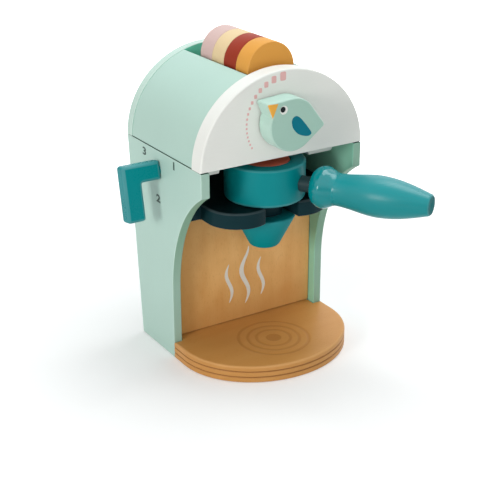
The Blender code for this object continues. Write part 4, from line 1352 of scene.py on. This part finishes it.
# Studio
CAMERA_PLACE = (-0.44069, -0.69006, 0.43027)
CAMERA_TARGET = (0.00342, 0.01056, 0.07285)
CAMERA_LENS = 81.76
CAMERA_SENSOR = 36.0
CAMERA_CLIP = (0.05, 20.0)
LAMP_TARGET = (0, 0, 0.12)
LAMPS = (("key_left", (-1.50, -0.525, 0.52), 10.4, 0.40, (1.0, 0.985, 0.96)),
         ("overhead", (0.36, 0.06, 1.36), 10.9, 0.78, (0.93, 0.985, 1.0)),
         ("front_fill", (-0.25, -1.65, 0.45), 2.9, 0.60, (1.0, 0.995, 0.98)),
         ("right_soft", (1.25, 0.25, 0.55), 1.0, 0.60, (1.0, 1.0, 1.0)))
WORLD_LEVEL = 0.45
DOME_LEVEL = 2.6                # of the sky that gloss shows, from the horizon's 1 upwards
DOME_RISE = (0.10, 0.55)
DOME_COLOUR = (0.93, 0.98, 1.0)
FLOOR_COLOUR = (0.80, 0.80, 0.80)
FLOOR_HALF, FLOOR_DROP = 6.0, -0.0002
FLOOR_GLOW = (0.22, 1.0)        # near the toy and far from it
FLOOR_GLOW_REACH = (0.14, 0.7)


def aimed(name, data, place, target):
    """A camera or lamp that looks from a place at a target."""
    holder = placed(name, data)
    holder.location = place
    aim = Vector(target) - Vector(place)
    holder.rotation_euler = aim.to_track_quat("-Z", "Y").to_euler()
    return holder


def seen_rays(tree):
    """1 for what the camera sees, straight or in a reflection."""
    kinds = [f"Is {kind} Ray" for kind in ("Camera", "Glossy", "Transmission")]
    camera, glossy, clear = tree.outputs(tree.node("ShaderNodeLightPath"), kinds)
    return (camera + glossy + clear).least(1)


def lit_world():
    """A plain white sky. Only gloss and the camera see the brighter dome in it."""
    world = bpy.data.worlds.new("studio")
    world.use_nodes = True
    tree = Tree(world.node_tree)
    background = world.node_tree.nodes["Background"]
    upwards, = tree.parts(tree.node("ShaderNodeTexCoord", out="Generated"), "Z")
    dome = 1 + tree.smooth(upwards, *DOME_RISE) * (DOME_LEVEL - 1)
    seen = seen_rays(tree)
    join(tree.tree, background.inputs["Strength"], WORLD_LEVEL + seen * (dome - WORLD_LEVEL))
    join(tree.tree, background.inputs["Color"], tree.blend(seen, (1, 1, 1), DOME_COLOUR))
    return world


def lay_floor():
    half, drop = FLOOR_HALF, FLOOR_DROP
    mesh = bpy.data.meshes.new("floor")
    mesh.from_pydata([(-half, -half, drop), (half, -half, drop), (half, half, drop),
                      (-half, half, drop)], [], [(0, 1, 2, 3)])
    finish = Finish("floor_paper", 0.9, 0)
    finish.set("Base Color", FLOOR_COLOUR)
    away = finish.node("ShaderNodeVectorMath", {"operation": "LENGTH"}, {0: finish.place},
                       "Value")
    near, far = FLOOR_GLOW
    glow = near + finish.smooth(away, *FLOOR_GLOW_REACH) * (far - near)
    finish.set("Emission Color", finish.blend(seen_rays(finish) * glow, (0, 0, 0), (1, 1, 1)))
    finish.set("Emission Strength", 1.0)
    mesh.materials.append(finish.material)
    floor = placed("floor", mesh)


def studio():
    scene = bpy.context.scene
    scene.view_settings.view_transform = "Standard"
    camera = bpy.data.cameras.new("camera")
    camera.lens = CAMERA_LENS
    camera.sensor_width = CAMERA_SENSOR
    camera.clip_start, camera.clip_end = CAMERA_CLIP
    scene.camera = aimed("camera", camera, CAMERA_PLACE, CAMERA_TARGET)
    scene.world = lit_world()
    lay_floor()
    for name, place, power, size, colour in LAMPS:
        light = bpy.data.lights.new(name, "AREA")
        light.energy = power
        light.shape = "SQUARE"
        light.size = size
        light.color = colour
        aimed(name, light, place, LAMP_TARGET)


def main():
    # the seam gets a painted shadow
    mint = painted("mint_cabinet_paint", MINT, 0.44, specular=0.12, seam=True)
    white = painted("white_arch_paint", WHITE, 0.46, along="x")
    teal = painted("teal_paint_satin", TEAL, 0.38, specular=0.13, wear_and_sheen=0.08)
    matte = painted("teal_paint_matte", TEAL, 0.46, specular=0.03, wear_and_sheen=0.06)
    glossy = painted("teal_paint_gloss", TEAL, 0.34, along="y", turn=(0, 0, HANDLE_AZIMUTH),
                     grain=0.5, specular=0.30, wear_and_sheen=0.06, shine=BULB_ROUGHNESS)
    # the navy's top faces take a painted shade
    navy = painted("navy_paint_satin", NAVY, 0.34, along="x", specular=0.05, wear_and_sheen=0.07,
                   inner=shade(NAVY, TOP_SHADE_TONE))
    lever = painted("lever_teal_paint", TEAL, 0.28, along="x", grain=0.5, specular=0.09,
                    wear_and_sheen=0.14)
    studio()
    dress_base()
    dress_cabinet(mint)
    dress_head(mint, white)
    dress_fork(navy)
    dress_pods()
    dress_holder(teal, matte, navy, glossy)
    dress_knob()
    dress_lever(lever)
    dress_prints()
    dress_inner_pieces(matte)


main()
bpy.context.view_layer.update()
